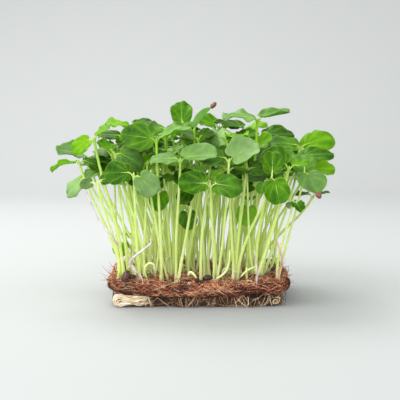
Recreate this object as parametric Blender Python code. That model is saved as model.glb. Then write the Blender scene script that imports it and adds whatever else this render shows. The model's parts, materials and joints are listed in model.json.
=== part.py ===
"""Hibiscus microgreens growing in a square of coir matting, with the roots that have come through it.

Metres, +Z up, and the viewer of the front is at -Y. The origin is on the table, under the middle of the mat.
Run it with blender --background --python part.py, or from Blender's text editor.
"""

import math
import random
from dataclasses import dataclass, replace

import bmesh
import bpy
from mathutils import Matrix, Vector
from mathutils.bvhtree import BVHTree

MM = 0.001

# The mat: a square cut from a coir sheet, held off the table by the roots, its sides curled up a little.
MAT_WIDTH = 100 * MM
MAT_DEPTH = 86 * MM
MAT_THICKNESS = 7 * MM
MAT_LIFT = 6 * MM
MAT_CURL = 3.6 * MM
MAT_LUMP = 0.7 * MM
MAT_CELLS = (10, 8)
CORNER_POWER = 7
RIM_FIBRES = 22
RIM_FIBRE_RADIUS = 0.45 * MM
# A rim fibre sinks into the mat at both ends: share of its length, and how deep in from the outline it lies.
RIM_FIBRE_COURSE = ((0.0, 2.15), (0.35, -0.05), (0.7, -0.15), (1.0, 1.95))
GAP = 0.3 * MM

# The roots that have come through: a matted pad on the table, loose roots round it and a hank at one corner.
ROOT_HALF_WIDTH = 43 * MM
ROOT_HALF_DEPTH = 38.5 * MM
ROOT_CELLS = (7, 5)
ROOTS_UNDER_MAT = 0.45 * MM
LOOSE_ROOTS = 26
LOOSE_ROOT_RADIUS = 0.55 * MM
# A loose root hangs from the pad's side and ends in its foot: share of its length, inset and share of its
# height.
LOOSE_ROOT_COURSE = ((0.0, 6.0, 0.8), (0.3, 2.2, 0.68), (0.75, 1.7, 0.28), (1.0, 5.6, 0.14))
HANK_RADIUS = 1.0 * MM
# Each layer of the hank lies over the last: where it is in y and z, in millimetres.
HANK_LAYERS = ((-40.3, 1.1), (-41.1, 2.6), (-40.3, 4.1))
HANK_ENDS = (-46.5, -30.0)
HANK_SWAY = 0.8
# Where the hank bends along its way, how far its upper layers sink, and where it goes in under the mat.
HANK_COURSE = (0.0, 0.12, 0.5, 1.0)
HANK_DROOP = 0.7
HANK_GOES_IN = (4, 5)

# The clumps: two or three seedlings share a root collar, and each collar stands in a plain hole in the mat.
ROW_COUNTS = (9, 8, 7, 8, 7)
CLUMP_STEP = 10.7 * MM
ROW_STEP = 17 * MM
FRONT_CLUMPS = ROW_COUNTS[0] + 5
FRONT_STEMS = 3
OTHER_STEMS = 2
CLUMP_WANDER = 1.1 * MM
COLLAR_RADIUS = 2.25 * MM
COLLAR_STANDS_OUT = 1.5 * MM
COLLAR_OFFSET = 1.15 * MM
HOLE_RADIUS = 2.62 * MM
HOLE_FLOOR = 2.2 * MM
HOLE_SIDES = 6

# The seedlings: a stem, and two rounded seed leaves on short stalks.
STEM_HALF_WIDTH = 0.86 * MM
STEM_TOP_HALF_WIDTH = 0.68 * MM
STEM_SUNK = 0.8 * MM
STEM_STATIONS = (0.0, 0.12, 0.40, 0.70, 0.96, 1.0)
# How long the stem keeps the direction that it has at its base and at its top, as a share of its length.
STEM_LEAVES_MAT = 0.36
STEM_NEARS_TOP = 0.34
STALK_LENGTH = 3.4 * MM
STALK_HALF_WIDTH = 0.5 * MM
BLADE_THICKNESS = 0.7 * MM
BLADE_WIDTH_TO_LENGTH = 1.16
# Along the blade, how far out the edge is: a broad base at the stalk, full shoulders and a blunt tip.
BLADE_STATIONS = ((0.03, 0.54), (0.36, 0.98), (0.76, 0.90), (1.0, 0.36))
CANOPY_FAN = (1.38, 1.34)
CANOPY_TOP = 97 * MM
CANOPY_DOME = 15 * MM
CANOPY_HALF = (70 * MM, 60 * MM)
CANOPY_LAYERS = 31 * MM
CANOPY_THINS = 0.6
# The sides of the whole plant mass flare from the mat upwards.
CANOPY_WAIST = 24 * MM
CANOPY_FLARE = 0.46
CANOPY_ROAM = 5 * MM
CANOPY_FRONT = -42 * MM
LEAF_LENGTHS = (10.5 * MM, 15 * MM)
ROOM_BETWEEN = 0.15 * MM
DRAWS = 320
SEED = 11


def mat_underside(x, y):
    """Height of the mat's underside: low in the middle, curled up towards its sides and corners."""
    across = abs(x) / (MAT_WIDTH / 2)
    along = abs(y) / (MAT_DEPTH / 2)
    return MAT_LIFT + MAT_CURL * across**4 * (0.45 + 0.55 * along**2) + 0.6 * MM * along**4


def mat_top(x, y):
    """Height of the mat's lumpy upper face."""
    lumps = math.sin(x * 200 + 1.3) * math.cos(y * 180) + 0.6 * math.sin(x * 110 - y * 130 + 0.7)
    return mat_underside(x, y) + MAT_THICKNESS + MAT_LUMP * lumps


@dataclass
class Leaf:
    """A seed leaf: which way it points, how its upper face turns, and its size and bend."""

    heading: float
    rise: float
    face: float
    length: float
    droop: float = 0.16
    cup: float = 0.06
    faces_to: float = -90.0

    def frame(self, stem_top, stem_way):
        """Where the blade starts, and its directions: along, across and up."""
        heading = math.radians(self.heading)
        rise = math.radians(self.rise)
        level = math.cos(rise)
        along = Vector((level * math.cos(heading), level * math.sin(heading), math.sin(rise)))
        face = math.radians(self.face)
        to = math.radians(self.faces_to)
        up = Vector((math.sin(face) * math.cos(to), math.sin(face) * math.sin(to), math.cos(face)))
        up = (up - along * up.dot(along)).normalized()
        start = stem_top + (along + 0.6 * stem_way).normalized() * STALK_LENGTH
        return start, along, up.cross(along), up


@dataclass
class Seedling:
    """One plant: where its stem starts and ends, which way it leaves the mat, and its two leaves."""

    base: Vector
    tip: Vector
    lean: Vector
    leaves: tuple

    def stem_point(self, share):
        """A point on the stem's smooth line, from its base at 0 to its top at 1."""
        span = (self.tip - self.base).length
        leaves_mat = self.base + self.lean * span * STEM_LEAVES_MAT
        nears_top = self.tip - self.top_way() * span * STEM_NEARS_TOP
        a, b = self.base.lerp(leaves_mat, share), leaves_mat.lerp(nears_top, share)
        c = nears_top.lerp(self.tip, share)
        return a.lerp(b, share).lerp(b.lerp(c, share), share)

    def top_way(self):
        """The stem's direction at its top: upright, leaning the way the plant leans."""
        return ((self.tip - self.base).normalized() + Vector((0, 0, 0.35))).normalized()


def blade_point(leaf, frame, share, out):
    """A point midway through the blade, share of its length along and out of its half width across."""
    start, along, across, up = frame
    half = leaf.length * BLADE_WIDTH_TO_LENGTH / 2
    bend = leaf.cup * out * out - leaf.droop * share * abs(share)
    return start + along * (share * leaf.length) + across * (out * half) + up * (bend * leaf.length)


def turned(face, across, up):
    """The face's four corners in order round its middle, starting low on the -across side."""
    middle = face.calc_center_median()

    def angle(vert):
        arm = vert.co - middle
        return math.atan2(arm.dot(up), arm.dot(across))

    return sorted(face.verts, key=angle)


def corners_at(middle, across, up, half_width, half_height):
    """The corners of a small rectangle, in the order that turned gives."""
    signs = ((-1, -1), (1, -1), (1, 1), (-1, 1))
    return [middle + across * (half_width * a) + up * (half_height * b) for a, b in signs]


def grow(bm, face, across, up, corners):
    """Extrudes the face to new corners and gives the face at the far end."""
    end = bmesh.ops.extrude_discrete_faces(bm, faces=[face])["faces"][0]
    for vert, corner in zip(turned(end, across, up), corners):
        vert.co = corner
    return end


def seedling_mesh(plant, swell=0.0, first=0):
    """A closed box-modelled seedling: a square stem, whose top opens into two stalks and their blades."""
    bm = bmesh.new()
    frames = [leaf.frame(plant.tip, plant.top_way()) for leaf in plant.leaves]
    spread = frames[0][1] - frames[1][1]
    shares = STEM_STATIONS[first:]
    points = [plant.stem_point(share) for share in shares]

    def ring(i):
        way = (points[min(i + 1, len(points) - 1)] - points[max(i - 1, 0)]).normalized()
        across = (spread - way * spread.dot(way)).normalized()
        width = STEM_HALF_WIDTH + (STEM_TOP_HALF_WIDTH - STEM_HALF_WIDTH) * shares[i] + swell
        return across, way.cross(across), width

    bmesh.ops.create_cube(bm, size=2.0)
    lower, upper = sorted(bm.faces, key=lambda f: f.normal.z)[:: len(bm.faces) - 1]
    for i, end in enumerate((lower, upper)):
        order = turned(end, Vector((1, 0, 0)), Vector((0, 1, 0)))
        across, up, width = ring(i)
        for vert, corner in zip(order, corners_at(points[i], across, up, width, width)):
            vert.co = corner
    top = upper
    for i in range(2, len(points)):
        across, up, width = ring(i)
        top = grow(bm, top, across, up, corners_at(points[i], across, up, width, width))
    sides = [f for f in bm.faces if f is not top and len(set(f.verts) & set(top.verts)) == 2]
    middle = plant.tip
    sides.sort(key=lambda f: (f.calc_center_median() - middle).dot(spread))
    for leaf, frame, side in zip(plant.leaves, frames, (sides[-1], sides[0])):
        start, along, across, up = frame
        stalk = STALK_HALF_WIDTH + swell
        end = grow(bm, side, across, up, corners_at(start, across, up, stalk, stalk))
        for share, out in BLADE_STATIONS:
            left, right = (blade_point(leaf, frame, share, sign * out) for sign in (-1, 1))
            edge = (right - left).normalized() * swell
            lift = up * (BLADE_THICKNESS / 2 + swell)
            corners = [left - edge - lift, right + edge - lift, right + edge + lift, left - edge + lift]
            end = grow(bm, end, across, up, corners)
    bmesh.ops.triangulate(bm, faces=bm.faces[:])
    return bm


def hull_mesh(length, place):
    """A seed hull: a plump bean, dented on one side where it split."""
    bm = bmesh.new()
    bmesh.ops.create_uvsphere(bm, u_segments=HULL_CELLS[0], v_segments=HULL_CELLS[1], radius=1.0)
    for vert in bm.verts:
        x, y, z = vert.co
        bend = 0.22 * (x * x - 0.4)
        width = HULL_WIDTH_TO_LENGTH
        vert.co = Vector((x, (y + bend) * width * (1 - 0.15 * x), z * width * 0.9)) * (length / 2)
    bmesh.ops.transform(bm, matrix=place, verts=bm.verts[:])
    bmesh.ops.triangulate(bm, faces=bm.faces[:])
    return bm


def caught_hull_mesh(plant, side, length, swell=0.0):
    """The hull that hangs on at the tip of one leaf of the plant, and clear of it by a hair."""
    leaf = plant.leaves[side]
    frame = leaf.frame(plant.tip, plant.top_way())
    end, near = (blade_point(leaf, frame, share, 0) for share in (1, 0.8))
    out = (end - near).normalized()
    middle = end + out * (length / 2 * MM + GAP)
    turn = out.to_track_quat("X", "Z").to_matrix().to_4x4()
    return hull_mesh(length * MM + 2 * swell, Matrix.Translation(middle) @ turn)


def clump_spots(draw):
    """The middles of the clumps: staggered rows across the mat, each spot wandering a little."""
    spots = []
    for row, count in enumerate(ROW_COUNTS):
        for column in range(count):
            x = (column - (count - 1) / 2) * CLUMP_STEP + draw.uniform(-1, 1) * CLUMP_WANDER
            y = (row - (len(ROW_COUNTS) - 1) / 2) * ROW_STEP + draw.uniform(-1, 1) * CLUMP_WANDER
            spots.append(Vector((x, y, 0)))
    return spots


# The plants that stand out at the front and along the top, in millimetres and degrees: the top of the stem,
# where its base would be, then for each leaf its heading, rise, how far its face turns to the viewer, and its
# length.
STANDING_OUT = (
    ((6, -56, 68), (8, -37), (180, 2, 66, 14), (0, -8, 64, 14)),
    ((-10, -52, 81), (-13, -37), (180, 2, 22, 13), (4, 11, 24, 17)),
    ((16, -46, 83), (8, -36), (24, 34, 56, 17), (176, 22, 36, 15)),
    ((-23, -44, 91), (-20, -36), (178, 9, 68, 16.5), (4, 24, 4, 17)),
    ((39, -48, 72), (20, -36), (84, 66, 84, 12.5), (-66, -64, 84, 13)),
    ((58, -32, 73), (42, -34), (-74, -28, 40, 16), (92, 44, 72, 14)),
    ((-3, -20, 96), (0, -18), (0, 56, -6, 12.5), (180, 6, 16, 14)),
    ((33, -14, 102), (28, -14), (180, 9, 14, 17), (0, 15, 12, 16)),
    ((58, -8, 86), (40, 0), (6, 22, 48, 17.5), (180, 12, 36, 15)),
    ((57, -18, 82), (42, -17), (3, 5, 34, 17), (184, -16, 30, 12)),
    ((-10, 10, 99), (-8, 30), (96, 58, 62, 14), (-84, 4, 18, 12)),
    ((-35, -47, 73), (-31, -38), (180, 2, 62, 13), (0, -46, 70, 12.5)),
    ((-46, -38, 84), (-34, -38), (2, -26, 60, 14), (172, 34, 20, 9)),
    ((-33, -36, 79), (-28, -34), (188, -10, 52, 13), (10, 20, 30, 11)),
    ((-56, -35, 91), (-38, -36), (184, -34, 44, 11), (20, 46, 8, 9.5)),
    ((-64, -12, 81), (-41, -16), (180, 16, 22, 15), (0, -20, 14, 12)),
    ((-67, -25, 79), (-44, -33), (184, -12, -8, 13.5), (5, -18, 24, 13)),
    ((-68, 28, 67), (-43, 20), (200, -42, 30, 14), (30, 40, 30, 11)),
    ((-13, -38, 70), (-13, -37), (165, 18, 52, 12.5), (228, -46, 62, 11)),
    ((62, 2, 72), (41, 16), (3, 8, 38, 14.5), (184, 0, 24, 12)),
    ((49, -43, 77), (32, -36), (164, 30, 44, 14), (-8, 12, 20, 9)),
    ((36, 4, 92), (28, -14), (2, 6, 34, 16.5), (182, 2, 20, 12)),
    ((28, 8, 98), (22, 17), (180, 5, 14, 17), (0, 12, 14, 11)),
    ((-19, 16, 97), (-16, 16), (180, 10, 30, 13), (0, 10, 20, 11)),
    ((12, 20, 97), (10, 16), (172, 22, 40, 11), (-4, 8, 24, 12)),
    ((-41, 18, 96), (-28, 16), (182, 12, 10, 13), (4, 8, 26, 11)),
    ((-43, -12, 92), (-28, -16), (182, 8, 28, 11), (0, 10, 30, 12)),
    ((-55, -42, 68), (-42, -36), (186, -14, 60, 6.5), (0, 22, 50, 8)),
    ((-23, -25, 64), (-22, -18), (-92, -62, 80, 10.5), (88, 30, 20, 9)),
    ((-7, -13, 52), (-8, -17), (-80, -60, 66, 10), (100, 20, 10, 8)),
    ((27, -17, 55), (18, -17), (-100, -58, 66, 11), (80, 10, 10, 9)),
    ((-44, 12, 31), (-41, 16), (-110, -48, 50, 9), (60, 10, 0, 8.5)),
    ((66, 6, 58), (40, 0), (0, 16, 10, 7), (182, 0, 10, 8)),
    ((26, -30, 74), (18, -36), (184, -10, 40, 9), (-6, 14, 44, 12)),
    ((-27, -30, 82), (-16, -17), (186, -20, 50, 12), (4, 10, 30, 12)),
)
BOLD_DROOP = 0.10

# The empty seed hulls that lie on the mat: x and y in millimetres, heading in degrees, length in millimetres.
LYING_HULLS = (
    (-42.5, -8.5, 62, 7.0),
    (-36.8, -39.3, 12, 4.6),
    (4.8, -38.6, 20, 5.8),
    (-1.2, -40.2, 100, 3.8),
    (-25.5, 8.6, 150, 5.2),
    (21.5, 25.6, 30, 5.0),
    (43.2, -8.0, 75, 5.2),
)
HULL_WIDTH_TO_LENGTH = 0.62
HULL_CELLS = (8, 5)
# The hulls still caught on a leaf: for each such row of STANDING_OUT, which leaf, and the hull's length.
CAUGHT_HULLS = {6: (0, 4.6), 5: (0, 5.0)}


def standing_out(row):
    """The seedling that one row of STANDING_OUT asks for, with its base still to be set."""
    tip, base, *leaves = row
    made = []
    for heading, rise, face, length in leaves:
        made.append(Leaf(heading, rise, face, length * MM, droop=BOLD_DROOP))
    return Seedling(Vector((*base, 0)) * MM, Vector(tip) * MM, Vector((0, 0, 1)), tuple(made))


def filling_in(spot, draw, roam=CANOPY_ROAM):
    """A seedling for the body of the canopy, which fans out from the mat under a low dome."""
    outer = Vector((spot.x * CANOPY_FAN[0], spot.y * CANOPY_FAN[1], 0))
    tip = outer + Vector((draw.gauss(0, roam), draw.gauss(0, roam), 0))
    reach = (tip.x / CANOPY_HALF[0]) ** 2 + (tip.y / CANOPY_HALF[1]) ** 2
    layers = CANOPY_LAYERS * (1 - CANOPY_THINS * min(reach, 1))
    tip.z = CANOPY_TOP - CANOPY_DOME * reach - layers * draw.random() ** 1.4
    most = CANOPY_WAIST + CANOPY_FLARE * tip.z
    tip.x = max(-most, min(most, tip.x))
    tip.y = max(tip.y, CANOPY_FRONT)
    heading = draw.uniform(0, 360)
    leaves = []
    for turn in (0, 180):
        way = heading + turn + draw.uniform(-14, 14)
        leaves.append(
            Leaf(
                way,
                draw.uniform(-30, 26),
                draw.uniform(0, 32),
                draw.uniform(*LEAF_LENGTHS),
                droop=draw.uniform(0.0, 0.26),
                cup=draw.uniform(-0.06, 0.14),
                faces_to=draw.uniform(0, 360),
            )
        )
    return Seedling(spot, tip, Vector((0, 0, 1)), tuple(leaves))


def bent(plant, much, draw):
    """The same plant with its stem and leaves bent aside, much from 0 for not at all to 1."""

    def aside(most):
        return draw.uniform(-most, most) * much

    tip = plant.tip + Vector((aside(7), aside(8), aside(6))) * MM
    leaves = []
    for leaf in plant.leaves:
        leaves.append(
            replace(
                leaf,
                heading=leaf.heading + aside(24),
                rise=leaf.rise + aside(20),
                face=leaf.face + aside(18),
                length=leaf.length * (1 - 0.12 * much * draw.random()),
            )
        )
    return replace(plant, tip=tip, leaves=tuple(leaves))


def shrunk(plant, scale):
    """The same plant with smaller leaves."""
    leaves = tuple(replace(leaf, length=leaf.length * scale) for leaf in plant.leaves)
    return replace(plant, leaves=leaves)


def set_in_collar(plant, spot, place, draw):
    """The plant with its base in the collar at this spot, as the first, second or third stem there."""
    turn = 2.1 * place + spot.x * 900
    x = spot.x + COLLAR_OFFSET * math.cos(turn)
    y = spot.y + COLLAR_OFFSET * math.sin(turn)
    base = Vector((x, y, mat_top(spot.x, spot.y) + COLLAR_STANDS_OUT - STEM_SUNK))
    way = plant.tip - base
    lean = Vector((way.x, way.y, 0)) / way.length * draw.uniform(-0.25, 0.9)
    lean += Vector((draw.uniform(-0.14, 0.14), draw.uniform(-0.14, 0.14), 1))
    return replace(plant, base=base, lean=lean.normalized())


def plant_up():
    """Every clump as (spot, its seedlings), and the seedlings that stand out.

    No leaf or stem crosses another: each plant is bent, or sent up elsewhere, until it is clear.
    """
    draw = random.Random(SEED)
    spots = clump_spots(draw)
    clumps = [(spot, []) for spot in spots]
    points, faces = [], []
    wishes = []
    for row in STANDING_OUT:
        plant = standing_out(row)
        free = [clump for clump in clumps if sum(1 for w in wishes if w[0] is clump) < FRONT_STEMS]
        nearest = min(free, key=lambda clump: (clump[0] - plant.base).length)
        wishes.append((nearest, plant))
    fillers = []
    for number, clump in enumerate(clumps):
        wanted = FRONT_STEMS if number < FRONT_CLUMPS else OTHER_STEMS
        taken = sum(1 for w in wishes if w[0] is clump)
        for _ in range(wanted - taken):
            fillers.append((clump, filling_in(clump[0], draw)))
    fillers.sort(key=lambda wish: -wish[1].tip.z)
    bold = []
    for order, (clump, wish) in enumerate(wishes + fillers):
        spot, plants = clump
        stands_out = order < len(wishes)
        standing = BVHTree.FromPolygons(points, faces) if faces else None
        for number in range(DRAWS):
            if stands_out or number < DRAWS // 4:
                plant = bent(wish, number / DRAWS * 1.6, draw)
            else:
                crowded = number / DRAWS
                plant = filling_in(spot, draw, CANOPY_ROAM * (1 + crowded))
                plant = shrunk(plant, 1 - 0.45 * crowded)
            plant = set_in_collar(plant, spot, len(plants), draw)
            shapes = [seedling_mesh(plant, swell=ROOM_BETWEEN, first=1)]
            if order in CAUGHT_HULLS:
                shapes.append(caught_hull_mesh(plant, *CAUGHT_HULLS[order], swell=ROOM_BETWEEN))
            crossed = standing and any(BVHTree.FromBMesh(shape).overlap(standing) for shape in shapes)
            if not crossed:
                for shape in shapes:
                    count = len(points)
                    shape.verts.index_update()
                    points.extend(v.co.copy() for v in shape.verts)
                    faces.extend([v.index + count for v in f.verts] for f in shape.faces)
                plants.append(plant)
                if stands_out:
                    bold.append(plant)
            for shape in shapes:
                shape.free()
            if not crossed:
                break
    return clumps, bold


def material(name, colour, roughness):
    """A plain material with the part's colour."""
    made = bpy.data.materials.new(name)
    made.use_nodes = True
    made.diffuse_color = (*colour, 1)
    shader = made.node_tree.nodes["Principled BSDF"]
    shader.inputs["Base Color"].default_value = (*colour, 1)
    shader.inputs["Roughness"].default_value = roughness
    return made


def new_object(name, bm, look, collection):
    """Turns a bmesh into an object in the collection."""
    mesh = bpy.data.meshes.new(name)
    bm.to_mesh(mesh)
    bm.free()
    if look:
        mesh.materials.append(look)
    made = bpy.data.objects.new(name, mesh)
    collection.objects.link(made)
    return made


def join(body, pieces, operation="UNION"):
    """Joins the pieces to the body, or cuts them from it, and removes them."""
    bpy.context.view_layer.update()
    step = body.modifiers.new("join", "BOOLEAN")
    step.operation = operation
    step.operand_type = "COLLECTION"
    step.collection = pieces
    step.solver = "MANIFOLD"
    graph = bpy.context.evaluated_depsgraph_get()
    mesh = bpy.data.meshes.new_from_object(body.evaluated_get(graph))
    body.modifiers.remove(step)
    old = body.data
    body.data = mesh
    bpy.data.meshes.remove(old)
    for piece in list(pieces.objects):
        bpy.data.objects.remove(piece)


def fill_pockets(body):
    """Fills the pockets sealed inside a joined body, by leaving out every shell but its outer one."""
    bm = bmesh.new()
    bm.from_mesh(body.data)
    left = set(bm.faces)
    shells = []
    while left:
        shell = set()
        edge_of_shell = [left.pop()]
        while edge_of_shell:
            face = edge_of_shell.pop()
            shell.add(face)
            near = {other for edge in face.edges for other in edge.link_faces} & left
            left -= near
            edge_of_shell.extend(near)
        shells.append(shell)
    outer = max(shells, key=len)
    inner = [face for face in bm.faces if face not in outer]
    bmesh.ops.delete(bm, geom=inner, context="FACES")
    bm.to_mesh(body.data)
    bm.free()


def collar_mesh(spot, radius, low, high):
    """An upright six-sided post, for a root collar or the hole that it stands in."""
    bm = bmesh.new()
    bmesh.ops.create_cone(
        bm,
        cap_ends=True,
        segments=HOLE_SIDES,
        radius1=radius,
        radius2=radius,
        depth=high - low,
        matrix=Matrix.Translation((spot.x, spot.y, (low + high) / 2)),
    )
    return bm


def add_seedlings(clumps, collection, extras, look):
    """One object for each clump: its seedlings, joined at the collar that their roots start from."""
    for number, (spot, plants) in enumerate(clumps):
        low = mat_underside(spot.x, spot.y) + HOLE_FLOOR + GAP
        high = mat_top(spot.x, spot.y) + COLLAR_STANDS_OUT
        bm = collar_mesh(spot, COLLAR_RADIUS, low, high)
        bmesh.ops.triangulate(bm, faces=bm.faces[:])
        body = new_object(f"seedlings_{number + 1:02d}", bm, look, collection)
        for plant in plants:
            new_object("stem", seedling_mesh(plant), None, extras)
        join(body, extras)


def slab_mesh(half_width, half_depth, cells, low, high):
    """A slab with rounded corners between two height rules, each a function of x and y."""
    bm = bmesh.new()
    bmesh.ops.create_grid(bm, x_segments=cells[0], y_segments=cells[1], size=1.0)
    for vert in bm.verts:
        x, y = vert.co.x, vert.co.y
        reach = max(abs(x), abs(y))
        round_reach = (abs(x) ** CORNER_POWER + abs(y) ** CORNER_POWER) ** (1 / CORNER_POWER)
        pull = reach / round_reach if round_reach else 1.0
        ragged = 1 + 0.012 * math.sin(7 * math.atan2(y, x) + 1) + 0.008 * math.sin(17 * math.atan2(y, x))
        vert.co = Vector((x * half_width * pull * ragged, y * half_depth * pull * ragged, 0))
    raised = bmesh.ops.extrude_face_region(bm, geom=bm.faces[:])["geom"]
    raised = {item for item in raised if isinstance(item, bmesh.types.BMVert)}
    for vert in bm.verts:
        rule = high if vert in raised else low
        vert.co.z = rule(vert.co.x, vert.co.y)
    bmesh.ops.recalc_face_normals(bm, faces=bm.faces[:])
    bmesh.ops.triangulate(bm, faces=bm.faces[:])
    return bm


def strand_mesh(points, radius, sides=3):
    """A thin closed strand through the points."""
    bm = bmesh.new()
    bmesh.ops.create_cone(bm, cap_ends=True, segments=sides, radius1=radius, radius2=radius, depth=1.0)
    bm.verts.ensure_lookup_table()
    lower = sorted(bm.verts, key=lambda v: v.co.z)[:sides]
    upper = [v for v in bm.verts if v not in lower]
    flat = {vert: Vector((vert.co.x, vert.co.y)) for vert in bm.verts}
    cap = next(f for f in bm.faces if set(f.verts) == set(upper))

    def place(verts, i):
        way = (points[min(i + 1, len(points) - 1)] - points[max(i - 1, 0)]).normalized()
        across = way.cross(Vector((0.3, 0.2, 1))).normalized()
        up = across.cross(way)
        for vert in verts:
            vert.co = points[i] + across * flat[vert].x + up * flat[vert].y

    place(lower, 0)
    place(upper, 1)
    for i in range(2, len(points)):
        before = list(cap.verts)
        cap = bmesh.ops.extrude_discrete_faces(bm, faces=[cap])["faces"][0]
        for old, new in zip(before, cap.verts):
            flat[new] = flat[old]
        place(cap.verts, i)
    bmesh.ops.recalc_face_normals(bm, faces=bm.faces[:])
    bmesh.ops.triangulate(bm, faces=bm.faces[:])
    return bm


def rim_point(turn, inset):
    """A point in plan on the mat's outline, or inset from it."""
    x, y = math.cos(turn), math.sin(turn)
    power = CORNER_POWER
    reach = (abs(x) ** power + abs(y) ** power) ** (1 / power)
    return Vector((x / reach * (MAT_WIDTH / 2 - inset), y / reach * (MAT_DEPTH / 2 - inset), 0))


def add_mat(clumps, collection, extras, look):
    """The coir mat: a lumpy slab with a hole for each collar and fibres lying along its rim."""
    slab = slab_mesh(MAT_WIDTH / 2, MAT_DEPTH / 2, MAT_CELLS, mat_underside, mat_top)
    body = new_object("coir_mat", slab, look, collection)
    draw = random.Random(SEED + 1)
    for number in range(RIM_FIBRES):
        turn = 2 * math.pi * (number + draw.uniform(-0.3, 0.3)) / RIM_FIBRES
        sweep = draw.choice((-1, 1)) * draw.uniform(0.10, 0.20)
        height = draw.uniform(0.25, 0.85)
        points = []
        for share, inset in RIM_FIBRE_COURSE:
            point = rim_point(turn + sweep * share, inset * MM)
            level = height + 0.12 * math.sin(share * math.pi)
            low, high = mat_underside(point.x, point.y), mat_top(point.x, point.y)
            point.z = low + (high - low) * level
            points.append(point)
        new_object("fibre", strand_mesh(points, RIM_FIBRE_RADIUS), None, extras)
    join(body, extras)
    for spot, _ in clumps:
        low = mat_underside(spot.x, spot.y) + HOLE_FLOOR
        hole = collar_mesh(spot, HOLE_RADIUS, low, low + MAT_THICKNESS * 2)
        new_object("hole", hole, None, extras)
    join(body, extras, "DIFFERENCE")


def root_top(x, y):
    """Height of the root mass, which the mat lies on."""
    return mat_underside(x, y) - ROOTS_UNDER_MAT


def add_roots(collection, extras, look):
    """The root mass under the mat: a matted pad, loose roots round it and a folded hank at one corner."""
    slab = slab_mesh(ROOT_HALF_WIDTH, ROOT_HALF_DEPTH, ROOT_CELLS, lambda x, y: 0.0, root_top)
    body = new_object("root_mass", slab, look, collection)
    draw = random.Random(SEED + 2)
    for number in range(LOOSE_ROOTS):
        turn = 2 * math.pi * (number + draw.uniform(-0.35, 0.35)) / LOOSE_ROOTS
        sweep = draw.uniform(-0.09, 0.09)
        points = []
        for share, inset, level in LOOSE_ROOT_COURSE:
            point = rim_point(turn + sweep * share, (inset + draw.uniform(-0.4, 0.6)) * MM)
            point.z = max(root_top(point.x, point.y) * level, LOOSE_ROOT_RADIUS * 1.05)
            points.append(point)
        new_object("root", strand_mesh(points, LOOSE_ROOT_RADIUS), None, extras)
    left, right = HANK_ENDS
    for layer, (y, z) in enumerate(HANK_LAYERS):
        points = []
        for share in HANK_COURSE:
            x = left + (right - left) * share
            droop = HANK_DROOP * math.cos(share * math.pi / 2) if layer else 0.0
            points.append(Vector((x, y + HANK_SWAY * math.sin(share * 3), z - droop)) * MM)
        points.append(Vector((right + HANK_GOES_IN[0], y + HANK_GOES_IN[1], z)) * MM)
        new_object("hank", strand_mesh(points, HANK_RADIUS, sides=5), None, extras)
    join(body, extras)
    fill_pockets(body)


def add_hulls(bold, collection, look):
    """The hulls that the seedlings shed on the mat, and the two still caught at the tips of leaves."""
    for number, (x, y, heading, length) in enumerate(LYING_HULLS):
        x, y, length = x * MM, y * MM, length * MM
        height = mat_top(x, y) + length / 2 * HULL_WIDTH_TO_LENGTH + MAT_LUMP
        turn = Matrix.Rotation(math.radians(heading), 4, "Z")
        bm = hull_mesh(length, Matrix.Translation((x, y, height)) @ turn)
        new_object(f"seed_hull_{number + 1}", bm, look, collection)
    for number, (row, (side, length)) in enumerate(CAUGHT_HULLS.items()):
        new_object(f"caught_hull_{number + 1}", caught_hull_mesh(bold[row], side, length), look, collection)


def build():
    """Clears the scene and makes the whole object."""
    for old in list(bpy.data.objects):
        bpy.data.objects.remove(old)
    whole = bpy.data.collections.new("hibiscus_microgreens")
    extras = bpy.data.collections.new("working_pieces")
    extras.hide_render = True
    for collection in (whole, extras):
        bpy.context.scene.collection.children.link(collection)
    clumps, bold = plant_up()
    green = material("seedling_green", (0.20, 0.42, 0.08), 0.5)
    coir = material("coir", (0.36, 0.14, 0.06), 0.9)
    root = material("root", (0.66, 0.52, 0.32), 0.8)
    hull = material("seed_hull", (0.07, 0.03, 0.025), 0.6)
    add_seedlings(clumps, whole, extras, green)
    add_mat(clumps, whole, extras, coir)
    add_roots(whole, extras, root)
    add_hulls(bold, whole, hull)
    bpy.data.collections.remove(extras)
    return clumps


CLUMPS = build()
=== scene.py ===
"""Looks for the hibiscus microgreens on their coir mat. Metres, +Z up, seen from -Y."""

import json
import math
import random
from dataclasses import dataclass, replace
from functools import partial

import bmesh
import bpy
from mathutils import Matrix, Vector, noise
from mathutils.bvhtree import BVHTree

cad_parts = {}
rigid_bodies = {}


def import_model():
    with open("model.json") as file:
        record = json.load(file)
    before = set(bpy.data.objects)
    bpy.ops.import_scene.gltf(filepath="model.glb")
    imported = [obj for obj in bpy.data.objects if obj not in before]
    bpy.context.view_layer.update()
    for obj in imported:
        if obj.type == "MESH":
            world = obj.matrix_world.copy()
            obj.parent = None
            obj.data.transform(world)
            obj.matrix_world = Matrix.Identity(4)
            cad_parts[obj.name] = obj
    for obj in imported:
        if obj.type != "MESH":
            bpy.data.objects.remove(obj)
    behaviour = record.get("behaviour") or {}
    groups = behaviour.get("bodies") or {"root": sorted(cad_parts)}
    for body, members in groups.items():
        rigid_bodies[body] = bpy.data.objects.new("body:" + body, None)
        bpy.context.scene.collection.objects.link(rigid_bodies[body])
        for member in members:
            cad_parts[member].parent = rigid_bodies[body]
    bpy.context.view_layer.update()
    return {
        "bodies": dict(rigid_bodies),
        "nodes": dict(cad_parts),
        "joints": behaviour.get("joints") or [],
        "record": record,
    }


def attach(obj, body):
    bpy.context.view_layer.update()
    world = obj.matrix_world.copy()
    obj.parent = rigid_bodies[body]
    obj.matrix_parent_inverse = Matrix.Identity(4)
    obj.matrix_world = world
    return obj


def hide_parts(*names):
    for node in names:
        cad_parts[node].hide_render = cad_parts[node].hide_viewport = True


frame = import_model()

# The view. The picture is taken from just above the height of the leaves, half a metre or so in front of the
# mat, with a long lens that keeps the sides of the mat nearly parallel.
MM = 0.001
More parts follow.
